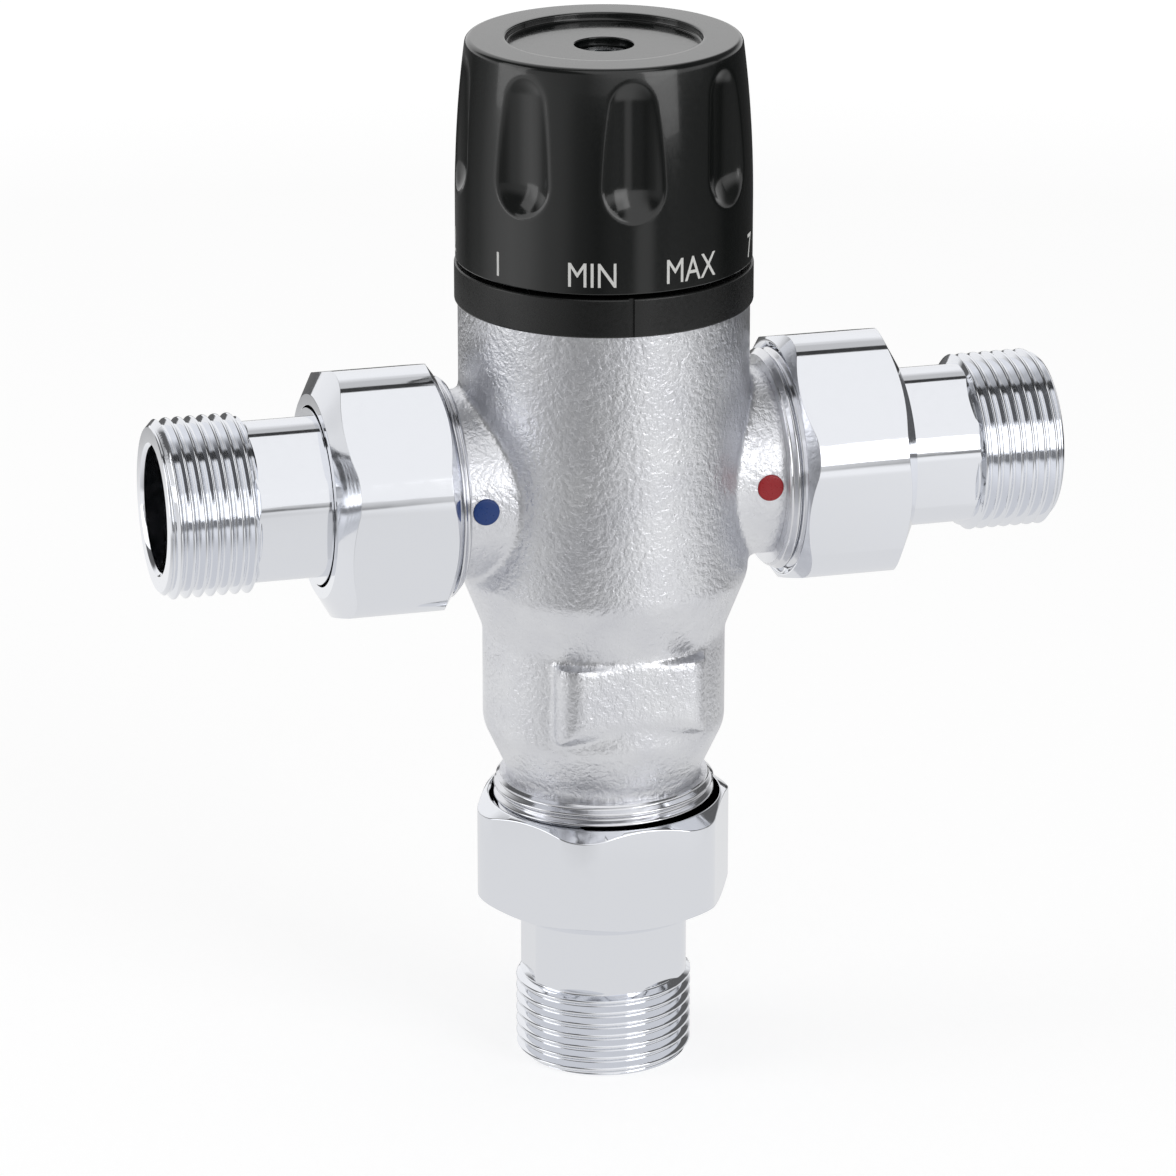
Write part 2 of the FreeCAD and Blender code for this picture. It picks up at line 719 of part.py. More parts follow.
def build_pusher():
    """The regulating nut that the spindle raises and lowers, with its spring-loaded cap."""
    body = new_body("pusher_nut")
    clip_bottom = s["pusher_bottom_above"] + s["pusher_clip_setback"]
    clip_top = clip_bottom + s["pusher_clip_thickness"] + s["face_play"]
    thread = s["spindle_screw_radius"] + s["thread_play"]
    flats = s["guide_flats"] - s["slide_play"] * 2
    prism = new_sketch(body, "XY_Plane", (0, 0, s["pusher_bottom_above"]))
    outline(prism, hexagon(flats))
    extrude(body, prism, s["pusher_top_above"] - s["pusher_bottom_above"])
    revolve(body, [
        (0, s["pusher_bottom_above"]),
        (s["pusher_cavity_radius"], s["pusher_bottom_above"]),
        (s["pusher_cavity_radius"], clip_bottom),
        (s["pusher_clip_radius"], clip_bottom),
        (s["pusher_clip_radius"], clip_top),
        (s["pusher_cavity_radius"], clip_top),
        (s["pusher_cavity_radius"], s["pusher_cavity_top_above"]),
        (thread, s["pusher_cavity_top_above"]),
        (thread, s["pusher_top_above"]),
        (0, s["pusher_top_above"])], cut=True)
    place(body, z=inlet_level)

    turned_piece("pusher_clip", rectangle(
        s["pusher_clip_bore"], s["pusher_clip_radius"] - s["seal_play"],
        clip_bottom, clip_bottom + s["pusher_clip_thickness"]), angle=360 - CLIP_OPEN_ANGLE)
    plate_bottom = clip_top
    plate_top = plate_bottom + s["cap_plate_thickness"]
    cap_radius = s["pusher_cavity_radius"] - s["slide_play"]
    turned_piece("overtravel_cap", [
        (0, s["cap_bottom_above"]),
        (s["cap_boss_radius"], s["cap_bottom_above"]),
        (s["cap_boss_radius"], plate_bottom),
        (cap_radius, plate_bottom),
        (cap_radius, plate_top),
        (0, plate_top)])
    mean = s["pusher_cavity_radius"] - s["overtravel_wire_radius"] - s["slide_play"] * 4
    spring = coil("overtravel_spring", mean, s["overtravel_wire_radius"], plate_top,
                  s["pusher_cavity_top_above"], OVERTRAVEL_TURNS)
    place(spring, z=inlet_level + plate_top + s["overtravel_wire_radius"])


def build_element():
    """The wax element, which lengthens as the mixed water warms, and the shutter it moves."""
    turned_piece("element_pin", rectangle(
        ZERO, s["pin_radius"], s["pin_bottom_above"], s["cap_bottom_above"]))
    pin_bore = s["pin_radius"] + s["slide_play"]
    flange_bottom = -s["hub_top_below"]
    flange_top_level = flange_bottom + s["element_flange_thickness"]
    turned_piece("wax_element", [
        (0, -s["bulb_end_below"]),
        (s["bulb_radius"] - s["bulb_chamfer"], -s["bulb_end_below"]),
        (s["bulb_radius"], s["bulb_chamfer"] - s["bulb_end_below"]),
        (s["bulb_radius"], flange_bottom),
        (s["element_flange_radius"], flange_bottom),
        (s["element_flange_radius"], flange_top_level),
        (s["element_neck_radius"], flange_top_level),
        (s["element_neck_radius"], s["element_neck_top_above"]),
        (pin_bore, s["element_neck_top_above"]),
        (pin_bore, s["pin_bottom_above"] - s["face_play"]),
        (0, s["pin_bottom_above"] - s["face_play"])])

    body = new_body("shutter")
    groove_half = s["shutter_groove_width"] * 0.5
    groove_radius = shutter_radius - s["shutter_groove_depth"]
    revolve(body, [
        (s["shutter_bore"], -shutter_end),
        (shutter_radius, -shutter_end),
        (shutter_radius, -groove_half),
        (groove_radius, -groove_half),
        (groove_radius, groove_half),
        (shutter_radius, groove_half),
        (shutter_radius, shutter_end),
        (s["shutter_bore"], shutter_end),
        (s["shutter_upper_bore"], shutter_end - (s["shutter_bore"] - s["shutter_upper_bore"])),
        (s["shutter_upper_bore"], -hub_bottom),
        (s["shutter_bore"], -hub_bottom)])
    hub_bore = s["bulb_radius"] + s["slide_play"]
    arm_sketch = new_sketch(body, "XY_Plane", (0, 0, -hub_bottom))
    half_width = s["hub_arm_width"] * 0.5
    middle_of_hub = (hub_bore + s["hub_radius"]) * 0.5
    middle_of_wall = (s["shutter_bore"] + groove_radius) * 0.5
    outline(arm_sketch, rectangle(middle_of_hub, middle_of_wall, -half_width, half_width))
    arm = extrude(body, arm_sketch, s["hub_thickness"])
    repeat_around(body, arm, HUB_ARMS)
    hub = new_sketch(body, "XY_Plane", (0, 0, -hub_bottom))
    add_circle(hub, 0, 0, s["hub_radius"])
    add_circle(hub, 0, 0, hub_bore)
    extrude(body, hub, s["hub_thickness"])
    place(body, z=inlet_level)
    ring = o_ring("shutter_oring", groove_radius, s["land_radius"])
    place(ring, z=inlet_level)

    spring = coil("return_spring", s["return_mean_radius"], s["return_wire_radius"],
                  -s["chamber_floor_below"], -hub_bottom, RETURN_TURNS)
    place(spring, z=inlet_level - s["chamber_floor_below"] + s["return_wire_radius"])


def build_lock_ring():
    """The moulded ring between the casting and the knob, with the notch that marks the setting."""
    ring_radius = skirt_radius + s["ring_proud"]
    inner = bonnet_flange + s["ring_play"]
    bottom = bonnet_seat + s["face_play"]
    web_bottom = flange_top + s["face_play"]
    web_top = web_bottom + s["ring_web_thickness"]
    ring = turned_piece("lock_ring", [
        (inner, bottom),
        (ring_radius, bottom),
        (ring_radius, s["ring_top_above"]),
        (inner - s["ring_crown_lip"], s["ring_top_above"]),
        (inner - s["ring_crown_lip"], web_top),
        (inner - s["ring_web_width"], web_top),
        (inner - s["ring_web_width"], web_bottom),
        (inner, web_bottom)])
    half_width = s["ring_notch_width"] * 0.5
    notch = new_sketch(ring, "XY_Plane", (0, 0, s["ring_top_above"]))
    outline(notch, rectangle(ring_radius - s["ring_notch_depth"], ring_radius + s["ring_notch_depth"],
                             -half_width, half_width))
    extrude(ring, notch, s["ring_top_above"] - bottom, cut=True)
    place(ring, z=inlet_level, turn_z=NOTCH_TURN)


def build_knob():
    """The moulded hand knob with its finger flutes, and the screw that holds it."""
    top = s["knob_top_above"]
    top_radius = skirt_radius - s["knob_taper"]
    body = new_body("knob")
    inner = skirt_radius - s["knob_wall"]
    screw_hole = s["screw_radius"] + s["slide_play"] * 4
    shell = revolve(body, [
        (inner, knob_bottom),
        (skirt_radius, knob_bottom),
        (skirt_radius, s["knob_skirt_top_above"]),
        (top_radius, top, s["knob_crown_radius"]),
        (s["knob_recess_radius"], top),
        (s["knob_recess_radius"], top - s["knob_recess_depth"]),
        (s["knob_screw_hole"], top - s["knob_recess_depth"]),
        (s["knob_screw_hole"], s["hub_screw_seat_above"]),
        (screw_hole, s["hub_screw_seat_above"]),
        (screw_hole, s["hub_bottom_above"]),
        (s["hub_outer_radius"], s["hub_bottom_above"]),
        (s["hub_outer_radius"], top - s["knob_roof"]),
        (inner, top - s["knob_roof"])])
    round_edges(body, shell, s["knob_edge_fillet"], is_ring(top_radius, top))
    socket_top = s["drive_end_above"] + s["face_play"] * 2
    socket = new_sketch(body, "XY_Plane", (0, 0, socket_top))
    outline(socket, hexagon(s["drive_flats"] + s["slide_play"] * 2))
    extrude(body, socket, socket_top - s["hub_bottom_above"], cut=True)
    tool = s["flute_radius"]
    tool_axis = skirt_radius + tool - s["flute_depth"]
    flute = revolve(body, [
        (0, s["flute_bottom_above"] - tool),
        (tool, s["flute_bottom_above"], tool),
        (tool, s["flute_top_above"]),
        (0, s["flute_top_above"] + tool, tool)], cut=True, shift=(tool_axis, 0, 0))
    repeat_around(body, flute, FLUTE_COUNT)
    place(body, z=inlet_level, turn_z=DIAL_TURN)

    screw = new_body("knob_screw")
    seat = s["hub_screw_seat_above"]
    shank = s["screw_radius"] - s["thread_play"]
    shank_end = s["drive_end_above"] - s["screw_hole_depth"] + s["knob_screw_drive"]
    revolve(screw, [
        (0, shank_end),
        (shank, shank_end),
        (shank, seat),
        (s["knob_screw_head"], seat),
        (s["knob_screw_head"], seat + s["knob_screw_head_height"]),
        (0, seat + s["knob_screw_head_height"])])
    recess = new_sketch(screw, "XY_Plane", (0, 0, seat + s["knob_screw_head_height"]))
    outline(recess, hexagon(s["knob_screw_drive"] * 2))
    extrude(screw, recess, s["knob_screw_drive"], cut=True)
    place(screw, z=inlet_level, turn_z=DIAL_TURN)


def build_union(port):
    """One port's union: the gasket, the tailpiece and the nut that clamps them together."""
    plan = PORTS[port]
    if port == "mixed":
        where = {"z": inlet_level - outlet_seat, "turn_y": plan["turn"]}
    else:
        where = {"x": inlet_seat * (plan["turn"] // 90), "z": inlet_level, "turn_y": plan["turn"]}

    gasket = new_body(port + "_gasket")
    revolve(gasket, rectangle(s["gasket_inner"], s["gasket_outer"], ZERO, s["gasket_thickness"]))
    place(gasket, **where)

    tail = new_body(port + "_tailpiece")
    chamfer = s["tail_end_chamfer"]
    bore_chamfer = s["tail_bore_chamfer"]
    rim_room = s["strainer_rim_radius"] + s["slide_play"] * 2
    rim_depth = flange_face + s["strainer_rim_thickness"]
    relief_radius = s["tail_radius"] - s["relief_depth"]
    revolve(tail, [
        (rim_room, flange_face),
        (s["flange_radius"], flange_face),
        (s["flange_radius"], flange_back),
        (s["shank_radius"], flange_back),
        (s["shank_radius"], hex_end),
        (relief_radius, hex_end),
        (relief_radius, hex_end + s["relief_width"]),
        (s["tail_radius"], hex_end + s["relief_width"]),
        (s["tail_radius"], tail_end - chamfer),
        (s["tail_radius"] - chamfer, tail_end),
        (s["tail_bore"] + bore_chamfer, tail_end),
        (s["tail_bore"], tail_end - bore_chamfer),
        (s["tail_bore"], rim_depth),
        (rim_room, rim_depth)])
    flats = new_sketch(tail, "XY_Plane", (0, 0, hex_end))
    outline(flats, hexagon(s["tail_hex_flats"], plan["tail_angle"]))
    add_circle(flats, 0, 0, s["tail_radius"] * 1.5)
    extrude(tail, flats, s["tail_hex_length"], cut=True)
    place(tail, **where)

    nut = new_body(port + "_union_nut")
    thread = s["collar_radius"] + s["thread_play"]
    hole = s["tail_radius"] + s["shank_play"]
    corner = s["nut_corner_radius"]
    revolve(nut, [
        (thread, nut_mouth),
        (s["nut_mouth_radius"], nut_mouth),
        (corner, nut_mouth + s["nut_mouth_chamfer"]),
        (corner, nut_back - s["nut_back_chamfer"]),
        (s["nut_back_radius"], nut_back),
        (hole, nut_back),
        (hole, lip_face),
        (thread, lip_face)])
    flats = new_sketch(nut, "XY_Plane", (0, 0, nut_back))
    outline(flats, hexagon(s["nut_flats"], plan["nut_angle"]))
    add_circle(flats, 0, 0, corner * 1.5)
    extrude(nut, flats, s["nut_length"], cut=True)
    place(nut, **where)
    return where


def build_check_valve(port):
    """The spring-loaded non-return cartridge in an inlet arm. Flow runs towards the axis."""
    where = {"z": inlet_level, "turn_y": PORTS[port]["turn"]}
    start = cartridge_start
    stem_end = start + s["poppet_stem_inset"]
    groove = check_seat + s["cartridge_seat_thickness"] * 0.25
    groove_top = groove + s["cartridge_groove_width"]
    groove_radius = s["cartridge_radius"] - s["cartridge_groove_depth"]

    housing = new_body(port + "_check_housing")
    revolve(housing, [
        (s["cartridge_bore"], start),
        (s["cartridge_radius"], start),
        (s["cartridge_radius"], groove),
        (groove_radius, groove),
        (groove_radius, groove_top),
        (s["cartridge_radius"], groove_top),
        (s["cartridge_radius"], cartridge_end),
        (s["cartridge_seat_bore"], cartridge_end),
        (s["cartridge_seat_bore"], check_seat),
        (s["cartridge_bore"], check_seat)])
    place(housing, **where)

    ring = o_ring(port + "_check_oring", groove_radius, s["arm_bore"])
    offset = groove + s["cartridge_groove_width"] * 0.5
    place(ring, x=offset * (PORTS[port]["turn"] // 90), z=inlet_level, turn_y=PORTS[port]["turn"])

    poppet = new_body(port + "_check_poppet")
    nose_start = poppet_front + s["poppet_seal_thickness"]
    nose_end = nose_start + s["poppet_nose_length"]
    revolve(poppet, [
        (0, stem_end),
        (s["poppet_stem_radius"], stem_end),
        (s["poppet_stem_radius"], poppet_back),
        (s["poppet_radius"], poppet_back),
        (s["poppet_radius"], poppet_front),
        (s["poppet_nose_radius"], poppet_front),
        (s["poppet_nose_radius"], nose_start),
        (0, nose_end)])
    place(poppet, **where)

    seal = new_body(port + "_check_seal")
    revolve(seal, rectangle(s["poppet_nose_radius"] + s["seal_play"], s["poppet_seal_outer"],
                            poppet_front, nose_start))
    place(seal, **where)

    guide = new_body(port + "_check_guide")
    ring_outer = s["cartridge_bore"] - s["slide_play"]
    hub_bore = s["poppet_stem_radius"] + s["slide_play"] * 2
    revolve(guide, rectangle(s["guide_ring_inner"], ring_outer, start, guide_end))
    half_width = s["guide_arm_width"] * 0.5
    arm_sketch = new_sketch(guide, "XY_Plane", (0, 0, start))
    middle_of_hub = (hub_bore + s["guide_hub_radius"]) * 0.5
    middle_of_ring = (s["guide_ring_inner"] + ring_outer) * 0.5
    outline(arm_sketch, rectangle(middle_of_hub, middle_of_ring, -half_width, half_width))
    arm = extrude(guide, arm_sketch, s["guide_thickness"])
    repeat_around(guide, arm, GUIDE_ARMS)
    hub = new_sketch(guide, "XY_Plane", (0, 0, start))
    add_circle(hub, 0, 0, s["guide_hub_radius"])
    add_circle(hub, 0, 0, hub_bore)
    extrude(guide, hub, s["guide_thickness"])
    place(guide, **where)

    spring = coil(port + "_check_spring", s["check_spring_radius"], s["check_wire_radius"],
                  guide_end, poppet_back, CHECK_TURNS)
    side = PORTS[port]["turn"] // 90
    place(spring, x=(guide_end + s["check_wire_radius"]) * side, z=inlet_level, turn_y=90 * side)


def build_strainer(port, where):
    """The basket strainer held by its rim between an inlet's tailpiece and gasket."""
    body = new_body(port + "_strainer")
    end = flange_face + s["strainer_length"]
    rim_back = flange_face + s["strainer_rim_thickness"]
    inner = s["strainer_radius"] - s["strainer_wall"]
    revolve(body, [
        (inner, flange_face),
        (s["strainer_rim_radius"], flange_face),
        (s["strainer_rim_radius"], rim_back),
        (s["strainer_radius"], rim_back),
        (s["strainer_radius"], end),
        (0, end),
        (0, end - s["strainer_wall"]),
        (inner, end - s["strainer_wall"])])
    half_width = s["strainer_slot_width"] * 0.5
    margin = s["strainer_slot_end_margin"]
    slot_sketch = new_sketch(body, "XZ_Plane")
    outline(slot_sketch, rectangle(-half_width, half_width, rim_back + margin * 0.5, end - margin))
    slot = extrude(body, slot_sketch, s["strainer_radius"] * 1.5, cut=True)
    repeat_around(body, slot, STRAINER_SLOTS)
    hole_sketch = new_sketch(body, "XY_Plane", (0, 0, end))
    add_circle(hole_sketch, s["strainer_hole_circle"], 0, s["strainer_hole_radius"])
    hole = extrude(body, hole_sketch, s["strainer_wall"] * 2, cut=True)
    repeat_around(body, hole, STRAINER_HOLES)
    place(body, **where)


def build_marker(port):
    """The coloured plastic stud let into the front of an inlet arm."""
    body = new_body(port + "_marker")
    side = PORTS[port]["turn"] // 90
    disc = new_sketch(body, "XZ_Plane", (0, 0, s["arm_radius"] - s["marker_depth"]))
    add_circle(disc, marker_offset * side, 0, s["marker_radius"] - s["seal_play"])
    extrude(body, disc, s["marker_depth"] + s["marker_stand"])
    place(body, z=inlet_level)


build_valve_body()
build_bonnet()
build_spindle()
build_pusher()
build_element()
build_lock_ring()
build_knob()
for port in PORTS:
    union_place = build_union(port)
    if port != "mixed":
        build_check_valve(port)
        build_strainer(port, union_place)
        build_marker(port)
doc.recompute()

# Every feature has to have worked, and every cut or addition has to have changed its body.
for item in doc.Objects:
    if "Invalid" in item.State or "Error" in item.State:
        raise RuntimeError("%s failed: %s" % (item.Name, item.State))
    base = getattr(item, "BaseFeature", None)
    if base is not None and item.isDerivedFrom("PartDesign::Feature"):
        change = item.Shape.Volume - base.Shape.Volume
        if abs(change) < 1e-6:
            raise RuntimeError("%s changed nothing" % item.Name)
        if item.isDerivedFrom("PartDesign::Pocket") and change > 0:
            raise RuntimeError("%s did not cut" % item.Name)

os.makedirs("parts", exist_ok=True)
for node in nodes:
    shape = node.Shape
    if shape.isNull() or not shape.isValid() or len(shape.Solids) != 1:
        raise RuntimeError("%s is not one valid solid" % node.Label)
    shape.exportStep("parts/%s.step" % node.Label)
print("%d pieces" % len(nodes))
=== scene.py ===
import json
import math

import bmesh
import bpy
from mathutils import Matrix, Vector


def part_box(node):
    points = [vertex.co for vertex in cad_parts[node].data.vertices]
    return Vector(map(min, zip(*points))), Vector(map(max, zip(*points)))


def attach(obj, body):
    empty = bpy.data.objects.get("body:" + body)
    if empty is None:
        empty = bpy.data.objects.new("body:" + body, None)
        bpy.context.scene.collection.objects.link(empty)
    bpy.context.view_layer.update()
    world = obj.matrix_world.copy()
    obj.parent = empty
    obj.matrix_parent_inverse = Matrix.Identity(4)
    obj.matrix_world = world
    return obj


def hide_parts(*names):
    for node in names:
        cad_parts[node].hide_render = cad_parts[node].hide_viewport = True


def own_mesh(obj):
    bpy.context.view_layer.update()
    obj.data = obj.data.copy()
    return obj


# A thermostatic mixing valve, dressed for a studio render. The solids come from the frame. The
# pieces that show are made again here with their threads, rounded edges and dial print, and the
# inner ones are smooth copies of their solids.
#
# Sizes are in millimetres and turned to metres by MM. A port's own axis is +Z, with its origin at
# the outer end of the port's tailpiece, so what lies on it has negative heights.

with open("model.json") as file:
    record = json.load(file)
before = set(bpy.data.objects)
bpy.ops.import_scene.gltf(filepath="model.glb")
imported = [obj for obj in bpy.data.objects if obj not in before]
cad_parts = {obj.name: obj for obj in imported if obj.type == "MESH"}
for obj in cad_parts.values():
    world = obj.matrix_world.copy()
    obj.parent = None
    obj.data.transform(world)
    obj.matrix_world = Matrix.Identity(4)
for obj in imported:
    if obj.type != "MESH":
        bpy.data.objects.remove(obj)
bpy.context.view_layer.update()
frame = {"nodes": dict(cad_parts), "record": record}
MM = 0.001

PORT_TURNS = {"cold": -90, "hot": 90, "mixed": 180}
NUT_ANGLES = {"cold": -13, "hot": 13, "mixed": -5}
TAIL_ANGLES = {"cold": -12, "hot": 12, "mixed": 30}
DIAL_TURN = math.radians(-4)
# The springs, each with the joint that drives its free end.
SPRING_JOINTS = {"cold_check_spring": "cold_check_slide", "hot_check_spring": "hot_check_slide",
                 "return_spring": "element_slide"}

# Tailpiece
TAIL_RADIUS = 13.22
TAIL_BORE = 9.28
TAIL_BORE_CHAMFER = 0.5
TAIL_END_CHAMFER = 1.2
SHANK_RADIUS = 13.0
TAIL_HEX_FLATS = 23.5
TAIL_HEX_LENGTH = 9.9
TAIL_HEX_SETBACK = 0.3
TAIL_HEX_ROUND = 3.0
RELIEF_WIDTH = 0.7
THREAD_LEAD_RADIUS = 11.6
THREAD_LEAD_LENGTH = 0.95
FLANGE_RADIUS = 15.2
FLANGE_THICKNESS = 3.0
STRAINER_ROOM = 10.4
STRAINER_RIM = 0.8
PIPE_PITCH = 1.814
PIPE_THREAD_DEPTH = 1.1
# Union nut
NUT_FLATS = 36.0
NUT_EDGE_ROUND = 4.0
NUT_CORNER = 20.6
NUT_CORNER_ROUND = 1.8
NUT_MOUTH_RADIUS = 17.6
NUT_MOUTH_CHAMFER = 2.1
NUT_BACK_RADIUS = 15.0
NUT_BACK_CHAMFER = 3.2
NUT_BORE = 16.55
NUT_BORE_CHAMFER = 0.8
NUT_HOLE = 13.35
NUT_LIP = 3.4
# Casting, with heights from the line of the inlets
INLET_LEVEL = 91.6
BODY_RADIUS = 21.4
BODY_TOP = 26.9
SHOULDER_BELOW = 14.8
WAIST_TOP_BELOW = 23.3
WAIST_RADIUS = 18.05
WAIST_END_BELOW = 38.3
NECK_RADIUS = 14.6
NECK_BELOW = 45.7
ARM_RADIUS = 14.0
PLATE_WIDTH = 23.0
PLATE_TOP_BELOW = 24.5
PLATE_BOTTOM_BELOW = 36.5
PLATE_STAND = 0.25
PLATE_FADE = 3.6
COLLAR_RADIUS = 16.5
COLLAR_PITCH = 1.65
COLLAR_THREAD_DEPTH = 0.75
COLLAR_ROOT_STEP = 0.9
COLLAR_CHAMFER = 0.8
INLET_COLLAR_START = 24.0
INLET_SEAT = 35.35
OUTLET_COLLAR_START = 46.8
OUTLET_SEAT = 59.25
MARKER_OFFSET = 21.5
MARKER_RADIUS = 2.0
MARKER_DEPTH = 0.9
MARKER_STAND = 0.35
CAST_CELL = 0.5
# Knob and the ring below it
KNOB_BOTTOM = 33.3
KNOB_TOP = 66.0
KNOB_RADIUS = 21.7
KNOB_TOP_RADIUS = 20.1
KNOB_SKIRT_TOP = 42.0
KNOB_CROWN_RADIUS = 181.0
KNOB_WALL = 3.0
FLUTE_COUNT = 8
FLUTE_RADIUS = 8.0
FLUTE_DEPTH = 2.0
FLUTE_BOTTOM = 49.2
FLUTE_TOP = 60.7
RING_RADIUS = 21.89
RING_BOTTOM = 26.95
RING_TOP = 32.7
DIAL_LEVEL = 36.4
DIAL_LETTER_HEIGHT = 3.8
DIAL_STEP = 40
DIAL_MARKS = ("MIN", "MAX", "7", "6", "5", "4", "3", "2", "1")
CAPITAL_SHARE = 0.73    # a capital's height as a share of the font's size
LETTER_SPREAD = 0.8


def rgb(code):
    """An sRGB hex colour as the linear RGBA that shaders take."""
    parts = [int(code[i:i + 2], 16) / 255 for i in (1, 3, 5)]
    linear = [c / 12.92 if c <= 0.04045 else ((c + 0.055) / 1.055) ** 2.4 for c in parts]
    return (*linear, 1.0)


def add_node(tree, kind, inputs=(), **settings):
    """Adds a shader node. Inputs are (socket, value or output) pairs."""
    node = tree.nodes.new(kind)
    for name, value in settings.items():
        setattr(node, name, value)
    for socket, value in inputs:
        if isinstance(value, bpy.types.NodeSocket):
            tree.links.new(value, node.inputs[socket])
        else:
            node.inputs[socket].default_value = value
    return node


def compute(tree, operation, *values):
    """A Math node's result."""
    return add_node(tree, "ShaderNodeMath", enumerate(values), operation=operation).outputs[0]


def new_material(name):
    material = bpy.data.materials.new(name)
    material.use_nodes = True
    material.node_tree.nodes.clear()
    return material, material.node_tree


def finish_material(tree, shader):
    output = add_node(tree, "ShaderNodeOutputMaterial")
    tree.links.new(shader.outputs[0], output.inputs["Surface"])


def grain(tree, size, detail=2.0, roughness=0.5, stretch=(1, 1, 1)):
    """Noise whose grains are about this many millimetres across. Stretch lengthens them."""
    place = add_node(tree, "ShaderNodeTexCoord")
    scale = tuple(1 / (size * MM * s) for s in stretch)
    mapping = add_node(tree, "ShaderNodeMapping", [("Vector", place.outputs["Object"]),
                                                   ("Scale", scale)])
    return add_node(tree, "ShaderNodeTexNoise", [("Vector", mapping.outputs[0]), ("Scale", 1.0),
                                                 ("Detail", detail), ("Roughness", roughness)])


def between(tree, noise, low, high):
    """Turns a noise's middle range into a value from low to high."""
    return add_node(tree, "ShaderNodeMapRange", [
        ("Value", noise.outputs["Fac"]), ("From Min", 0.3), ("From Max", 0.7),
        ("To Min", low), ("To Max", high)]).outputs["Result"]


def bump(tree, height, depth, below=None):
    """Relief of this depth in millimetres, added to the relief below it."""
    inputs = [("Height", height), ("Distance", depth * MM), ("Strength", 1.0)]
    if below is not None:
        inputs.append(("Normal", below))
    return add_node(tree, "ShaderNodeBump", inputs).outputs["Normal"]


def polished_chrome():
    """Bright chrome plate over buffed brass: near-mirror, with the long soft ripple of buffing."""
    material, tree = new_material("polished_chrome_plate")
    ripple = grain(tree, 6.0, detail=1.0)
    haze = grain(tree, 1.2, detail=3.0)
    shader = add_node(tree, "ShaderNodeBsdfPrincipled", [
        ("Base Color", rgb("#ebedf2")), ("Metallic", 1.0),
        ("Roughness", between(tree, haze, 0.05, 0.11)),
        ("Normal", bump(tree, ripple.outputs["Fac"], 0.02))])
    finish_material(tree, shader)
    return material


def turned_share(tree):
    """1 on the body's machined collars, where the lathe took the cast skin off, and 0 elsewhere."""
    place = add_node(tree, "ShaderNodeTexCoord")
    spot = add_node(tree, "ShaderNodeSeparateXYZ", [("Vector", place.outputs["Object"])])
    inlet = compute(tree, "GREATER_THAN", compute(tree, "ABSOLUTE", spot.outputs["X"]),
                    INLET_COLLAR_START * MM)
    outlet = compute(tree, "LESS_THAN", spot.outputs["Z"], (INLET_LEVEL - OUTLET_COLLAR_START) * MM)
    return compute(tree, "MAXIMUM", inlet, outlet)


def blasted_chrome():
    """Satin chrome over a shot-blasted casting: a coarse even grit on the slow waves of the mould.
    The machined collars are bright and plain."""
    material, tree = new_material("blasted_satin_chrome")
    turned = turned_share(tree)
    cast = compute(tree, "SUBTRACT", 1.0, turned)
    waves = grain(tree, 7.0, detail=2.0)
    grit = grain(tree, 0.85, detail=3.0, roughness=0.6)
    tone = grain(tree, 9.0, detail=3.0)
    shade = add_node(tree, "ShaderNodeMix", [
        ("Factor", between(tree, tone, 0.0, 1.0)), (6, rgb("#dcdde2")), (7, rgb("#e8e9ec"))],
        data_type="RGBA")
    relief = bump(tree, compute(tree, "MULTIPLY", waves.outputs["Fac"], cast), 0.15)
    pitted = bump(tree, compute(tree, "MULTIPLY", grit.outputs["Fac"], cast), 0.2, relief)
    rough = compute(tree, "MULTIPLY", between(tree, grit, 0.27, 0.37),
                    compute(tree, "MULTIPLY_ADD", turned, -0.65, 1.0))
    shader = add_node(tree, "ShaderNodeBsdfPrincipled", [
        ("Base Color", shade.outputs[2]), ("Metallic", 1.0), ("Roughness", rough), ("Normal", pitted)])
    finish_material(tree, shader)
    return material


def moulded_plastic(name, base, rough, grit_size=0.5, relief_depth=0.004, coat=0.0):
    """Injection-moulded plastic with the faint unevenness of its tool."""
    material, tree = new_material(name)
    grit = grain(tree, grit_size, detail=2.0)
    waves = grain(tree, 8.0, detail=1.0)
    relief = bump(tree, waves.outputs["Fac"], relief_depth * 6)
    shader = add_node(tree, "ShaderNodeBsdfPrincipled", [
        ("Base Color", rgb(base)), ("IOR", 1.52), ("Coat Weight", coat),
        ("Roughness", between(tree, grit, rough * 0.85, rough * 1.15)),
        ("Normal", bump(tree, grit.outputs["Fac"], relief_depth, relief))])
    finish_material(tree, shader)
    return material


def machined_metal(name, base, rough, stretch=(1, 1, 1)):
    """Bare metal from the lathe or the die, with fine marks along the cut."""
    material, tree = new_material(name)
    marks = grain(tree, 0.5, detail=2.0, stretch=stretch)
    tone = grain(tree, 3.0)
    light = add_node(tree, "ShaderNodeHueSaturation", [
        ("Color", rgb(base)), ("Value", between(tree, tone, 0.88, 1.08))])
    shader = add_node(tree, "ShaderNodeBsdfPrincipled", [
        ("Base Color", light.outputs[0]), ("Metallic", 1.0),
        ("Roughness", between(tree, marks, rough * 0.8, rough * 1.2)),
        ("Normal", bump(tree, marks.outputs["Fac"], 0.006))])
    finish_material(tree, shader)
    return material


def soft_material(name, base, rough, grit_size, relief_depth):
    """Rubber or pressed fibre: dull, with a close grain."""
    material, tree = new_material(name)
    grit = grain(tree, grit_size, detail=4.0)
    light = add_node(tree, "ShaderNodeHueSaturation", [
        ("Color", rgb(base)), ("Value", between(tree, grit, 0.8, 1.2))])
    shader = add_node(tree, "ShaderNodeBsdfPrincipled", [
        ("Base Color", light.outputs[0]), ("IOR", 1.5), ("Roughness", rough),
        ("Normal", bump(tree, grit.outputs["Fac"], relief_depth))])
    finish_material(tree, shader)
    return material


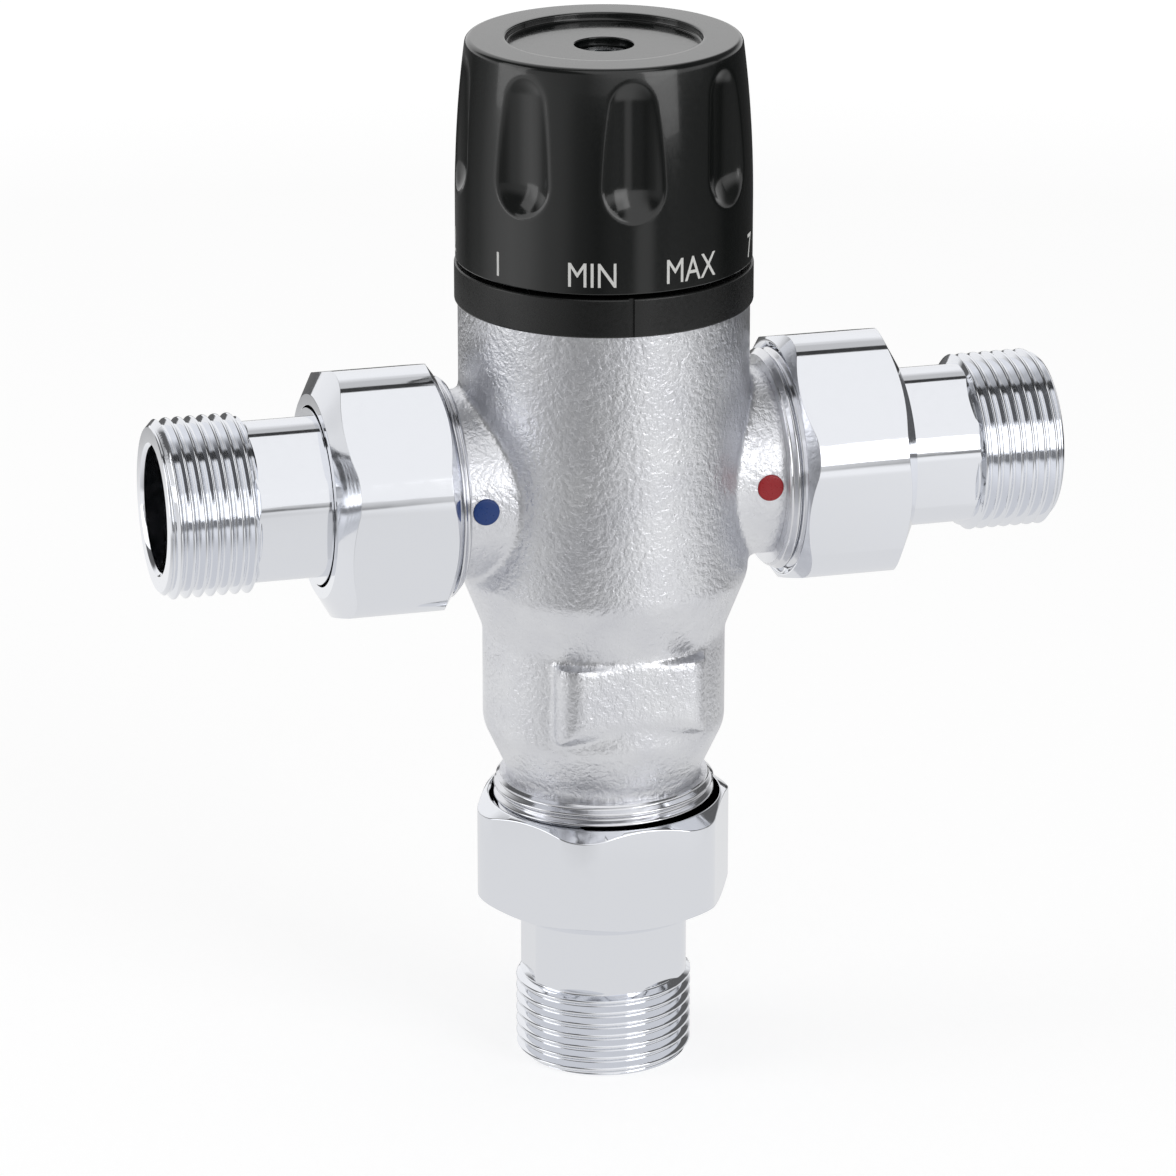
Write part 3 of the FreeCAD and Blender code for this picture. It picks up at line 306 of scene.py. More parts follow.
MATERIALS = {
    "blasted_casting": blasted_chrome(),
    "polished_chrome": polished_chrome(),
    "turned_brass": machined_metal("turned_brass_cw617", "#c9a25c", 0.22, (1, 1, 0.3)),
    "element_brass": machined_metal("dipped_brass_rich", "#b8794e", 0.3),
    "spring_steel": machined_metal("drawn_stainless_wire", "#b9bcc0", 0.25),
    "strainer_steel": machined_metal("pressed_stainless_sheet", "#adb0b3", 0.32),
    "knob_screw_steel": machined_metal("stainless_screw", "#b4b7ba", 0.24),
    "seal_rubber": soft_material("nitrile_rubber", "#1a1a1b", 0.55, 0.3, 0.01),
    "gasket_fibre": soft_material("pressed_fibre", "#2f3b36", 0.75, 0.25, 0.02),
    "shutter_plastic": moulded_plastic("glass_filled_nylon", "#2b2a28", 0.5, 0.3, 0.01),
    "check_plastic": moulded_plastic("moulded_acetal", "#e2e2dc", 0.35),
    "knob_plastic": moulded_plastic("gloss_black_abs", "#0b0e0d", 0.16, 0.6, 0.003, coat=0.3),
    "ring_plastic": moulded_plastic("semi_gloss_black_abs", "#101111", 0.28),
    "cold_marker": moulded_plastic("blue_stud_plastic", "#0a3a80", 0.3),
    "hot_marker": moulded_plastic("red_stud_plastic", "#a81620", 0.3),
}
DIAL_PRINT = moulded_plastic("white_dial_print", "#e9e9e6", 0.5)


def lathe(corners, steps=144):
    """A turned form. Corners are (radius, height); an edge on the axis is left open."""
    bm = bmesh.new()
    verts = [bm.verts.new((r * MM, 0, z * MM)) for r, z in corners]
    pairs = list(zip(verts, verts[1:] + verts[:1]))
    edges = [bm.edges.new(pair) for pair in pairs if max(pair[0].co.x, pair[1].co.x) > 0]
    bmesh.ops.spin(bm, geom=verts + edges, cent=(0, 0, 0), axis=(0, 0, 1), angle=math.tau,
                   steps=steps, use_merge=True)
    bmesh.ops.remove_doubles(bm, verts=bm.verts, dist=1e-7)
    bmesh.ops.recalc_face_normals(bm, faces=bm.faces)
    return bm


def rounded(corners, segments=6):
    """An outline whose corners may carry a radius: (radius, height) or (radius, height, rounding)."""
    points = []
    for index, corner in enumerate(corners):
        here = Vector(corner[:2])
        if len(corner) == 2:
            points.append(here)
            continue
        before = (Vector(corners[index - 1][:2]) - here).normalized()
        after = (Vector(corners[(index + 1) % len(corners)][:2]) - here).normalized()
        half = before.angle(after) / 2
        middle = here + (before + after).normalized() * corner[2] / math.sin(half)
        start = here + before * corner[2] / math.tan(half) - middle
        sweep = start.angle_signed(here + after * corner[2] / math.tan(half) - middle)
        for step in range(segments + 1):
            points.append(middle + Matrix.Rotation(-sweep * step / segments, 2) @ start)
    return [tuple(point) for point in points]


def prism(sides, across, low, high, turn=0.0, corner_round=0.0, segments=6):
    """An upright prism, across its flats, with its long edges rounded."""
    bm = bmesh.new()
    radius = across / 2 / math.cos(math.pi / sides) * MM
    base = bmesh.ops.create_circle(bm, cap_ends=True, segments=sides, radius=radius)
    bmesh.ops.rotate(bm, verts=base["verts"], matrix=Matrix.Rotation(turn - math.pi / 2, 3, "Z"))
    bmesh.ops.translate(bm, verts=base["verts"], vec=(0, 0, low * MM))
    top = bmesh.ops.extrude_face_region(bm, geom=bm.faces[:])
    raised = [v for v in top["geom"] if isinstance(v, bmesh.types.BMVert)]
    bmesh.ops.translate(bm, verts=raised, vec=(0, 0, (high - low) * MM))
    if corner_round:
        upright = [e for e in bm.edges if abs(e.verts[0].co.z - e.verts[1].co.z) > MM / 10]
        bmesh.ops.bevel(bm, geom=upright, offset=corner_round * MM, offset_type="OFFSET",
                        segments=segments, profile=0.5, affect="EDGES", material=-1)
    bmesh.ops.recalc_face_normals(bm, faces=bm.faces)
    return bm


def threaded_bar(radius, depth, pitch, low, high, steps=128):
    """A solid bar with a rounded thread, cut square at both ends."""
    bm = bmesh.new()
    turns = math.ceil((high - low) / pitch) + 2
    flank = [(0.00, 1.0), (0.07, 0.97), (0.14, 0.84), (0.36, 0.16), (0.43, 0.03),
             (0.50, 0.0), (0.57, 0.03), (0.64, 0.16), (0.86, 0.84), (0.93, 0.97)]
    start = low - 1.5 * pitch
    verts = [bm.verts.new(((radius - depth * dip) * MM, 0, (start + (turn + along) * pitch) * MM))
             for turn in range(turns) for along, dip in flank]
    edges = [bm.edges.new(pair) for pair in zip(verts, verts[1:])]
    bmesh.ops.spin(bm, geom=verts + edges, cent=(0, 0, 0), axis=(0, 0, 1), angle=math.tau,
                   steps=steps, dvec=(0, 0, pitch * MM / steps), use_merge=False)
    bmesh.ops.remove_doubles(bm, verts=bm.verts, dist=1e-6)
    for height, side in ((low, -1), (high, 1)):
        everything = bm.verts[:] + bm.edges[:] + bm.faces[:]
        bmesh.ops.bisect_plane(bm, geom=everything, plane_co=(0, 0, height * MM),
                               plane_no=(0, 0, side), clear_outer=True, dist=1e-7)
        rim = [e for e in bm.edges if e.is_boundary
               and all(abs(v.co.z - height * MM) < 1e-6 for v in e.verts)]
        bmesh.ops.edgeloop_fill(bm, edges=rim)
    bmesh.ops.recalc_face_normals(bm, faces=bm.faces)
    return bm


def to_object(bm, name):
    mesh = bpy.data.meshes.new(name)
    bm.to_mesh(mesh)
    bm.free()
    piece = bpy.data.objects.new(name, mesh)
    bpy.context.scene.collection.objects.link(piece)
    return piece


def bake(piece):
    """Applies a piece's modifiers to its mesh."""
    bpy.context.view_layer.update()
    graph = bpy.context.evaluated_depsgraph_get()
    mesh = bpy.data.meshes.new_from_object(piece.evaluated_get(graph))
    piece.modifiers.clear()
    piece.data = mesh
    mesh.name = piece.name
    return piece


def combine(piece, operation, tool_bm):
    """Cuts, joins or intersects a piece with a bmesh, which is used up."""
    tool = to_object(tool_bm, "tool")
    change = piece.modifiers.new("change", "BOOLEAN")
    change.operation = operation
    change.solver = "EXACT"
    change.object = tool
    bake(piece)
    bpy.data.objects.remove(tool)
    return piece


def taken_shape(piece):
    """A piece's mesh as a bmesh, to use as a tool. The piece itself goes."""
    shape = bmesh.new()
    shape.from_mesh(piece.data)
    bpy.data.objects.remove(piece)
    return shape


def soften(piece, width, segments=3, angle=25):
    """Rounds a piece's sharp edges and shades it smooth between them."""
    merged = bmesh.new()
    merged.from_mesh(piece.data)
    bmesh.ops.remove_doubles(merged, verts=merged.verts, dist=1e-6)
    bmesh.ops.dissolve_limit(merged, angle_limit=math.radians(0.5), verts=merged.verts,
                             edges=merged.edges)
    merged.to_mesh(piece.data)
    merged.free()
    bevel = piece.modifiers.new("edges", "BEVEL")
    bevel.width = width * MM
    bevel.segments = segments
    bevel.limit_method = "ANGLE"
    bevel.angle_limit = math.radians(angle)
    bevel.harden_normals = False
    bake(piece)
    return shade_by_angle(piece, 40)


def shade_by_angle(piece, degrees):
    for face in piece.data.polygons:
        face.use_smooth = True
    piece.data.set_sharp_from_angle(angle=math.radians(degrees))
    weigh = piece.modifiers.new("normals", "WEIGHTED_NORMAL")
    weigh.keep_sharp = True
    weigh.mode = "FACE_AREA"
    return bake(piece)


def settle(piece, node, material_slot, place=None):
    """Puts a finished piece in its place in the valve, for the node it stands for."""
    if place is not None:
        piece.data.transform(place)
    piece.data.materials.clear()
    piece.data.materials.append(MATERIALS[material_slot])
    body = next(b for b, names in frame["record"]["behaviour"]["bodies"].items() if node in names)
    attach(piece, body)
    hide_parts(node)
    return piece


def slot_of(node):
    return next(s["material_slot"] for s in frame["record"]["subparts"] if s["node"] == node)


def port_place(port):
    """Takes a piece built along +Z, from the tailpiece's outer end, to its port."""
    low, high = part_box(port + "_tailpiece")
    centre = (low + high) / 2
    outward = Matrix.Rotation(math.radians(PORT_TURNS[port]), 4, "Y")
    direction = outward @ Vector((0, 0, 1))
    reach = max((high - low).dot(direction), (low - high).dot(direction)) / 2
    return Matrix.Translation(centre + direction * reach) @ outward


def along_port(port, node):
    """A node's two ends along its port, in millimetres from the tailpiece's outer end."""
    inward = port_place(port).inverted()
    ends = [(inward @ corner).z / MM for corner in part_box(node)]
    return min(ends), max(ends)


def build_tailpiece(port):
    """A flanged tail with its spanner hexagon and male pipe thread."""
    node = port + "_tailpiece"
    start, end = along_port(port, node)
    hex_start = along_port(port, port + "_union_nut")[1] + TAIL_HEX_SETBACK
    hex_end = hex_start + TAIL_HEX_LENGTH
    piece = to_object(
        threaded_bar(TAIL_RADIUS, PIPE_THREAD_DEPTH, PIPE_PITCH, hex_end, end), node + "_detailed")
    lead = (TAIL_RADIUS + 1 - THREAD_LEAD_RADIUS) / (TAIL_RADIUS - THREAD_LEAD_RADIUS) * THREAD_LEAD_LENGTH
    combine(piece, "INTERSECT", lathe([
        (0, hex_end), (THREAD_LEAD_RADIUS, hex_end), (TAIL_RADIUS + 1, hex_end + lead),
        (TAIL_RADIUS + 1, end - TAIL_END_CHAMFER - 1), (TAIL_RADIUS - TAIL_END_CHAMFER, end), (0, end)]))
    hexagon = to_object(prism(6, TAIL_HEX_FLATS, hex_start, hex_end + RELIEF_WIDTH,
                              math.radians(TAIL_ANGLES[port]), TAIL_HEX_ROUND, 8), "hexagon")
    combine(hexagon, "INTERSECT", lathe([
        (0, hex_start), (SHANK_RADIUS, hex_start), (SHANK_RADIUS, hex_end),
        (SHANK_RADIUS - RELIEF_WIDTH, hex_end + RELIEF_WIDTH), (0, hex_end + RELIEF_WIDTH)]))
    combine(piece, "UNION", taken_shape(hexagon))
    combine(piece, "UNION", lathe([
        (0, start), (FLANGE_RADIUS, start), (FLANGE_RADIUS, start + FLANGE_THICKNESS),
        (SHANK_RADIUS, start + FLANGE_THICKNESS), (SHANK_RADIUS, hex_start), (0, hex_start)]))
    combine(piece, "DIFFERENCE", lathe([
        (0, start - 1), (STRAINER_ROOM, start - 1), (STRAINER_ROOM, start + STRAINER_RIM),
        (TAIL_BORE, start + STRAINER_RIM), (TAIL_BORE, end - TAIL_BORE_CHAMFER),
        (TAIL_BORE + TAIL_BORE_CHAMFER + 1, end + 1), (0, end + 1)]))
    soften(piece, 0.12, 2, 35)
    return settle(piece, node, slot_of(node), port_place(port))


def build_union_nut(port):
    """A hexagonal union nut, forged, turned and buffed until its long edges are round."""
    node = port + "_union_nut"
    mouth, back = along_port(port, node)
    piece = to_object(prism(6, NUT_FLATS, mouth, back, math.radians(NUT_ANGLES[port]), NUT_EDGE_ROUND, 12),
                      node + "_detailed")
    combine(piece, "INTERSECT", lathe(rounded([
        (0, mouth), (NUT_MOUTH_RADIUS, mouth), (NUT_CORNER, mouth + NUT_MOUTH_CHAMFER, NUT_CORNER_ROUND),
        (NUT_CORNER, back - NUT_BACK_CHAMFER, NUT_CORNER_ROUND), (NUT_BACK_RADIUS, back), (0, back)]), 192))
    combine(piece, "DIFFERENCE", lathe([
        (0, mouth - 1), (NUT_BORE + NUT_BORE_CHAMFER + 1, mouth - 1), (NUT_BORE, mouth + NUT_BORE_CHAMFER),
        (NUT_BORE, back - NUT_LIP), (NUT_HOLE, back - NUT_LIP), (NUT_HOLE, back + 1),
        (0, back + 1)], 192))
    soften(piece, 0.3, 3, 20)
    return settle(piece, node, slot_of(node), port_place(port))


def smooth_copy(node):
    """A node's own shape with its facets joined and its edges shaded as they are cut."""
    shape = bmesh.new()
    shape.from_mesh(frame["nodes"][node].data)
    bmesh.ops.remove_doubles(shape, verts=shape.verts, dist=1e-6)
    piece = to_object(shape, node + "_smooth")
    shade_by_angle(piece, 32)
    return settle(piece, node, slot_of(node))


def press_spring(piece):
    """Gives a spring its own copy of its mesh."""
    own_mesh(piece)


AXIS_PLACE = Matrix.Translation((0, 0, INLET_LEVEL * MM))
ARM_TURNS = {side: Matrix.Rotation(math.radians(90 * side), 4, "Y") for side in (-1, 1)}


def cast_form():
    """The casting's outside before it is machined, with the soft joints of the mould."""
    piece = to_object(lathe(rounded([
        (0, -OUTLET_COLLAR_START - 2), (NECK_RADIUS, -OUTLET_COLLAR_START - 2), (NECK_RADIUS, -NECK_BELOW, 1.5),
        (WAIST_RADIUS, -WAIST_END_BELOW, 5), (WAIST_RADIUS, -WAIST_TOP_BELOW, 5),
        (BODY_RADIUS, -SHOULDER_BELOW, 5), (BODY_RADIUS, BODY_TOP + 1), (0, BODY_TOP + 1)], 8)), "cast")
    arms = lathe([(0, -INLET_COLLAR_START - 2), (ARM_RADIUS, -INLET_COLLAR_START - 2),
                  (ARM_RADIUS, INLET_COLLAR_START + 2), (0, INLET_COLLAR_START + 2)])
    bmesh.ops.transform(arms, matrix=ARM_TURNS[1], verts=arms.verts)
    combine(piece, "UNION", arms)
    combine(piece, "UNION", cast_plate())
    remesh = piece.modifiers.new("fuse", "REMESH")
    remesh.mode = "VOXEL"
    remesh.voxel_size = CAST_CELL * MM
    smooth = piece.modifiers.new("soften", "SMOOTH")
    smooth.factor = 0.5
    smooth.iterations = 3
    return bake(piece)


def cast_plate():
    """The bare plate on the front, crisp along its top and fading into the waist below."""
    plate = bmesh.new()
    bmesh.ops.create_cube(plate, size=MM)
    depth = 8.0
    bmesh.ops.scale(plate, verts=plate.verts,
                    vec=(PLATE_WIDTH, depth, PLATE_BOTTOM_BELOW - PLATE_TOP_BELOW))
    face = WAIST_RADIUS + PLATE_STAND
    bmesh.ops.translate(plate, verts=plate.verts, vec=(
        0, (depth / 2 - face) * MM, -(PLATE_BOTTOM_BELOW + PLATE_TOP_BELOW) / 2 * MM))
    front = [e for e in plate.edges
             if all(v.co.y < -(face - 1) * MM for v in e.verts)
             and not all(v.co.z > -(PLATE_TOP_BELOW + 1) * MM for v in e.verts)]
    bmesh.ops.bevel(plate, geom=front, offset=PLATE_FADE * MM, offset_type="OFFSET", segments=10,
                    profile=0.5, affect="EDGES", material=-1)
    bmesh.ops.recalc_face_normals(plate, faces=plate.faces)
    return plate


def collar(seat, root):
    """A machined collar with its thread, chamfered at both ends."""
    piece = to_object(threaded_bar(COLLAR_RADIUS, COLLAR_THREAD_DEPTH, COLLAR_PITCH, root, seat), "collar")
    combine(piece, "INTERSECT", lathe([
        (0, root), (COLLAR_RADIUS - COLLAR_ROOT_STEP, root), (COLLAR_RADIUS + 1, root + COLLAR_ROOT_STEP + 1),
        (COLLAR_RADIUS + 1, seat - COLLAR_CHAMFER - 1), (COLLAR_RADIUS - COLLAR_CHAMFER, seat), (0, seat)]))
    return taken_shape(piece)


def build_valve_body():
    """The blasted casting, then its collars, bores, ports and marker seats."""
    piece = cast_form()
    piece.name = "valve_body_detailed"
    top = bmesh.new()
    bmesh.ops.create_cube(top, size=80 * MM)
    bmesh.ops.translate(top, verts=top.verts, vec=(0, 0, (BODY_TOP + 40) * MM))
    combine(piece, "DIFFERENCE", top)
    outlet = collar(OUTLET_SEAT, OUTLET_COLLAR_START)
    bmesh.ops.rotate(outlet, verts=outlet.verts, matrix=Matrix.Rotation(math.pi, 3, "Y"))
    combine(piece, "UNION", outlet)
    for side in (-1, 1):
        inlet = collar(INLET_SEAT, INLET_COLLAR_START)
        bmesh.ops.transform(inlet, matrix=ARM_TURNS[side], verts=inlet.verts)
        combine(piece, "UNION", inlet)
    combine(piece, "DIFFERENCE", lathe([
        (0, -OUTLET_SEAT - 1), (9.3, -OUTLET_SEAT - 1), (9.3, -36), (13, -36), (13, -13), (10.5, -13),
        (10.5, -10), (12.6, -10), (12.6, -11), (16, -11), (16, -3), (12, -3), (12, 3), (16, 3),
        (16, 12.3), (17.35, 12.3), (17.35, BODY_TOP + 1), (0, BODY_TOP + 1)], 96))
    for side in (-1, 1):
        bore = lathe([(0, 18.5), (9, 18.5), (9, 20.2), (11, 20.2), (11, INLET_SEAT + 1), (0, INLET_SEAT + 1)], 96)
        bmesh.ops.transform(bore, matrix=ARM_TURNS[side], verts=bore.verts)
        combine(piece, "DIFFERENCE", bore)
        combine(piece, "DIFFERENCE", port_cut(side))
        seat = lathe([(0, -1), (MARKER_RADIUS, -1), (MARKER_RADIUS, 2), (0, 2)], 64)
        bmesh.ops.transform(seat, matrix=marker_place(side, ARM_RADIUS - MARKER_DEPTH + 1), verts=seat.verts)
        combine(piece, "DIFFERENCE", seat)
    shade_by_angle(piece, 35)
    return settle(piece, "valve_body", "blasted_casting", AXIS_PLACE)


def port_cut(side):
    """The D-shaped port from an inlet into its annulus: above the land on the cold side."""
    port = lathe([(0, 12.5), (8.6, 12.5), (8.6, 19), (0, 19)], 96)
    bmesh.ops.transform(port, matrix=ARM_TURNS[side], verts=port.verts)
    away = Vector((0, 0, side))
    everything = port.verts[:] + port.edges[:] + port.faces[:]
    bmesh.ops.bisect_plane(port, geom=everything, plane_co=away * -3.8 * MM, plane_no=away,
                           clear_outer=True, dist=1e-7)
    bmesh.ops.edgeloop_fill(port, edges=[e for e in port.edges if e.is_boundary])
    bmesh.ops.recalc_face_normals(port, faces=port.faces)
    return port


def marker_place(side, depth):
    """Takes a piece built along +Z to the front of an inlet's arm, this far from its axis."""
    return (Matrix.Translation((MARKER_OFFSET * side * MM, -depth * MM, 0))
            @ Matrix.Rotation(math.pi / 2, 4, "X"))


def build_marker(port, side):
    """A small domed stud of coloured plastic, pressed into the arm."""
    radius = MARKER_RADIUS - 0.02
    height = MARKER_DEPTH + MARKER_STAND
    piece = to_object(lathe(rounded([(0, 0), (radius, 0), (radius, height - 0.1, 0.25), (0, height)]), 64),
                      port + "_marker_detailed")
    shade_by_angle(piece, 40)
    return settle(piece, port + "_marker", port + "_marker",
                  AXIS_PLACE @ marker_place(side, ARM_RADIUS - MARKER_DEPTH))


def build_lock_ring():
    """The semi-gloss ring below the knob, with its setting notch."""
    inner = 19.85
    piece = to_object(lathe(rounded([
        (inner, RING_BOTTOM), (RING_RADIUS, RING_BOTTOM, 0.3), (RING_RADIUS, RING_TOP, 0.3),
        (18, RING_TOP), (18, 31.45), (15, 31.45), (15, 29.95), (inner, 29.95)], 4), 192),
        "lock_ring_detailed")
    notch = bmesh.new()
    bmesh.ops.create_cube(notch, size=MM)
    bmesh.ops.scale(notch, verts=notch.verts, vec=(1.0, 0.8, 8))
    bmesh.ops.translate(notch, verts=notch.verts, vec=(RING_RADIUS * MM, 0, (RING_BOTTOM + 3) * MM))
    bmesh.ops.rotate(notch, verts=notch.verts, matrix=Matrix.Rotation(math.radians(-95), 3, "Z"))
    combine(piece, "DIFFERENCE", notch)
    shade_by_angle(piece, 35)
    return settle(piece, "lock_ring", "ring_plastic", AXIS_PLACE)


def crown_radius_at(height):
    """The knob's outer radius at a height: an upright skirt, then a slow curve in to the top."""
    if height <= KNOB_SKIRT_TOP:
        return KNOB_RADIUS
    rise, run = KNOB_TOP - KNOB_SKIRT_TOP, KNOB_RADIUS - KNOB_TOP_RADIUS
    chord = math.hypot(rise, run)
    bow = math.sqrt(KNOB_CROWN_RADIUS ** 2 - chord ** 2 / 4)
    centre_z = (KNOB_TOP + KNOB_SKIRT_TOP) / 2 - bow * run / chord
    centre_r = (KNOB_RADIUS + KNOB_TOP_RADIUS) / 2 - bow * rise / chord
    return centre_r + math.sqrt(KNOB_CROWN_RADIUS ** 2 - (height - centre_z) ** 2)


def press_flutes(shape):
    """Sinks the finger flutes into the knob's outer wall, with softly rounded brinks."""
    softness = 0.35
    for vert in shape.verts:
        radius, height = math.hypot(vert.co.x, vert.co.y) / MM, vert.co.z / MM
        if radius < crown_radius_at(height) - 0.05 or not KNOB_SKIRT_TOP - 2 < height < KNOB_TOP - 0.95:
            continue
        pitch = math.tau / FLUTE_COUNT
        angle = math.atan2(vert.co.y, vert.co.x)
        off = angle - round(angle / pitch) * pitch
        beyond = max(FLUTE_BOTTOM - height, 0, height - FLUTE_TOP)
        reach = max(FLUTE_RADIUS ** 2 - beyond ** 2, 0)
        axis = KNOB_RADIUS + FLUTE_RADIUS - FLUTE_DEPTH
        under = reach - (axis * math.sin(off)) ** 2
        if under <= 0:
            continue
        wall = axis * math.cos(off) - math.sqrt(under)
        blend = max(softness - abs(radius - wall), 0) / softness
        pressed = min(radius, wall) - blend ** 2 * softness / 4
        vert.co.xy *= pressed / radius
    return shape


def build_knob():
    """The glossy knob with its eight finger flutes and its recessed top."""
    crown = [(crown_radius_at(KNOB_SKIRT_TOP + step * 0.35), KNOB_SKIRT_TOP + step * 0.35)
             for step in range(-8, 66)]
    inner = KNOB_RADIUS - KNOB_WALL
    edge = rounded([(crown[-1][0], crown[-1][1]), (KNOB_TOP_RADIUS, KNOB_TOP, 0.9), (14.6, KNOB_TOP)], 6)
    shape = lathe(
        rounded([(inner, KNOB_BOTTOM), (KNOB_RADIUS, KNOB_BOTTOM, 0.25), (KNOB_RADIUS, KNOB_SKIRT_TOP - 4)], 3)
        + crown + edge[1:-1]
        + rounded([(15, KNOB_TOP), (14.3, KNOB_TOP, 0.25), (14.3, KNOB_TOP - 1.2, 0.4),
                   (4.3, KNOB_TOP - 1.2, 0.2), (4.3, 61), (2.2, 61), (2.2, 50.1), (5.2, 50.1),
                   (5.2, 42.2), (9, 42.2), (9, KNOB_TOP - 3.2), (inner, KNOB_TOP - 3.2)], 4), 360)
    piece = to_object(press_flutes(shape), "knob_detailed")
    shade_by_angle(piece, 40)
    return settle(piece, "knob", "knob_plastic", AXIS_PLACE @ Matrix.Rotation(DIAL_TURN, 4, "Z"))


def build_dial_print():
    """White figures round the knob's skirt: MIN and MAX at the front, 1 to 7 round the rest."""
    for index, word in enumerate(DIAL_MARKS):
        curve = bpy.data.curves.new("print", "FONT")
        curve.body = word
        curve.size = DIAL_LETTER_HEIGHT / CAPITAL_SHARE * MM
        curve.align_x = "CENTER"
        curve.resolution_u = 6
        text = bpy.data.objects.new("text", curve)
        bpy.context.scene.collection.objects.link(text)
        bpy.context.view_layer.update()
        flat = bpy.data.meshes.new_from_object(
            text.evaluated_get(bpy.context.evaluated_depsgraph_get()))
        bpy.data.objects.remove(text)
        shape = bmesh.new()
        shape.from_mesh(flat)
        bmesh.ops.remove_doubles(shape, verts=shape.verts, dist=1e-7)
        skin = bmesh.ops.extrude_face_region(shape, geom=shape.faces[:])
        raised = [v for v in skin["geom"] if isinstance(v, bmesh.types.BMVert)]
        bmesh.ops.translate(shape, verts=raised, vec=(0, 0, 0.06 * MM))
        bmesh.ops.recalc_face_normals(shape, faces=shape.faces)
        turn = math.radians(DIAL_STEP * (index - 0.5) - 90)
        for vert in shape.verts:
            angle = turn + vert.co.x * LETTER_SPREAD / (KNOB_RADIUS * MM)
            radius = (KNOB_RADIUS - 0.03) * MM + vert.co.z
            level = (DIAL_LEVEL - DIAL_LETTER_HEIGHT / 2) * MM + vert.co.y
            vert.co = (radius * math.cos(angle), radius * math.sin(angle), level)
        piece = to_object(shape, "dial_print_" + word)
        piece.data.transform(AXIS_PLACE)
        piece.data.materials.append(DIAL_PRINT)
        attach(piece, "handle")


def build_knob_screw():
    """The cap-head screw under the knob's top, with its socket."""
    piece = to_object(lathe(rounded([
        (0, 41), (1.95, 41), (1.95, 61), (3.6, 61), (3.6, 63.6, 0.3), (0, 63.6)], 4), 96),
        "knob_screw_detailed")
    combine(piece, "DIFFERENCE", prism(6, 3.0, 62.1, 64.5))
    shade_by_angle(piece, 35)
    return settle(piece, "knob_screw", "knob_screw_steel", AXIS_PLACE @ Matrix.Rotation(DIAL_TURN, 4, "Z"))


for port in PORT_TURNS:
    build_tailpiece(port)
    build_union_nut(port)
build_valve_body()
build_lock_ring()
build_knob()
build_dial_print()
build_knob_screw()
build_marker("cold", -1)
build_marker("hot", 1)
MADE = {port + part for port in PORT_TURNS for part in ("_tailpiece", "_union_nut")}
MADE |= {"valve_body", "lock_ring", "knob", "knob_screw", "cold_marker", "hot_marker"}
for node in frame["nodes"]:
    if node not in MADE:
        copy = smooth_copy(node)
        if node in SPRING_JOINTS:
            press_spring(copy)


def build_camera():
    """A long lens from the front, a little to the cold side and above."""
    aim = Vector((-2.40, 0, 73.67)) * MM
    azimuth, elevation, distance = math.radians(-15.44), math.radians(18.91), 923.1 * MM
    away = Vector((math.sin(azimuth) * math.cos(elevation),
                   -math.cos(azimuth) * math.cos(elevation), math.sin(elevation)))
    data = bpy.data.cameras.new("camera")
    data.lens = 190.37
    data.sensor_width = 36
    data.clip_start = 0.01
    camera = bpy.data.objects.new("camera", data)
    camera.location = aim + away * distance
    camera.rotation_euler = (-away).to_track_quat("-Z", "Y").to_euler()
    bpy.context.scene.collection.objects.link(camera)
    bpy.context.scene.camera = camera


def ray_is(tree, *kinds):
    """1 where a ray is one of these kinds, such as Camera or Glossy."""
    path = add_node(tree, "ShaderNodeLightPath")
    total = path.outputs["Is %s Ray" % kinds[0]]
    for kind in kinds[1:]:
        total = add_node(tree, "ShaderNodeMath", [(0, total), (1, path.outputs["Is %s Ray" % kind])],
                         operation="MAXIMUM").outputs[0]
    return total


def ramp(tree, factor, stops):
    """A grey ramp through (position, value) stops."""
    node = add_node(tree, "ShaderNodeValToRGB", [("Fac", factor)])
    elements = node.color_ramp.elements
    while len(elements) < len(stops):
        elements.new(0.5)
    for element, (position, value) in zip(elements, stops):
        element.position = position
        element.color = (value, value, value, 1)
    return node.outputs["Color"]


def turn_share(tree, across, away):
    """The direction (across, away) as a share of a turn: 0.5 along away, 0.75 along across."""
    turn = compute(tree, "ARCTAN2", across, away)
    return compute(tree, "MULTIPLY_ADD", turn, 1 / math.tau, 0.5)


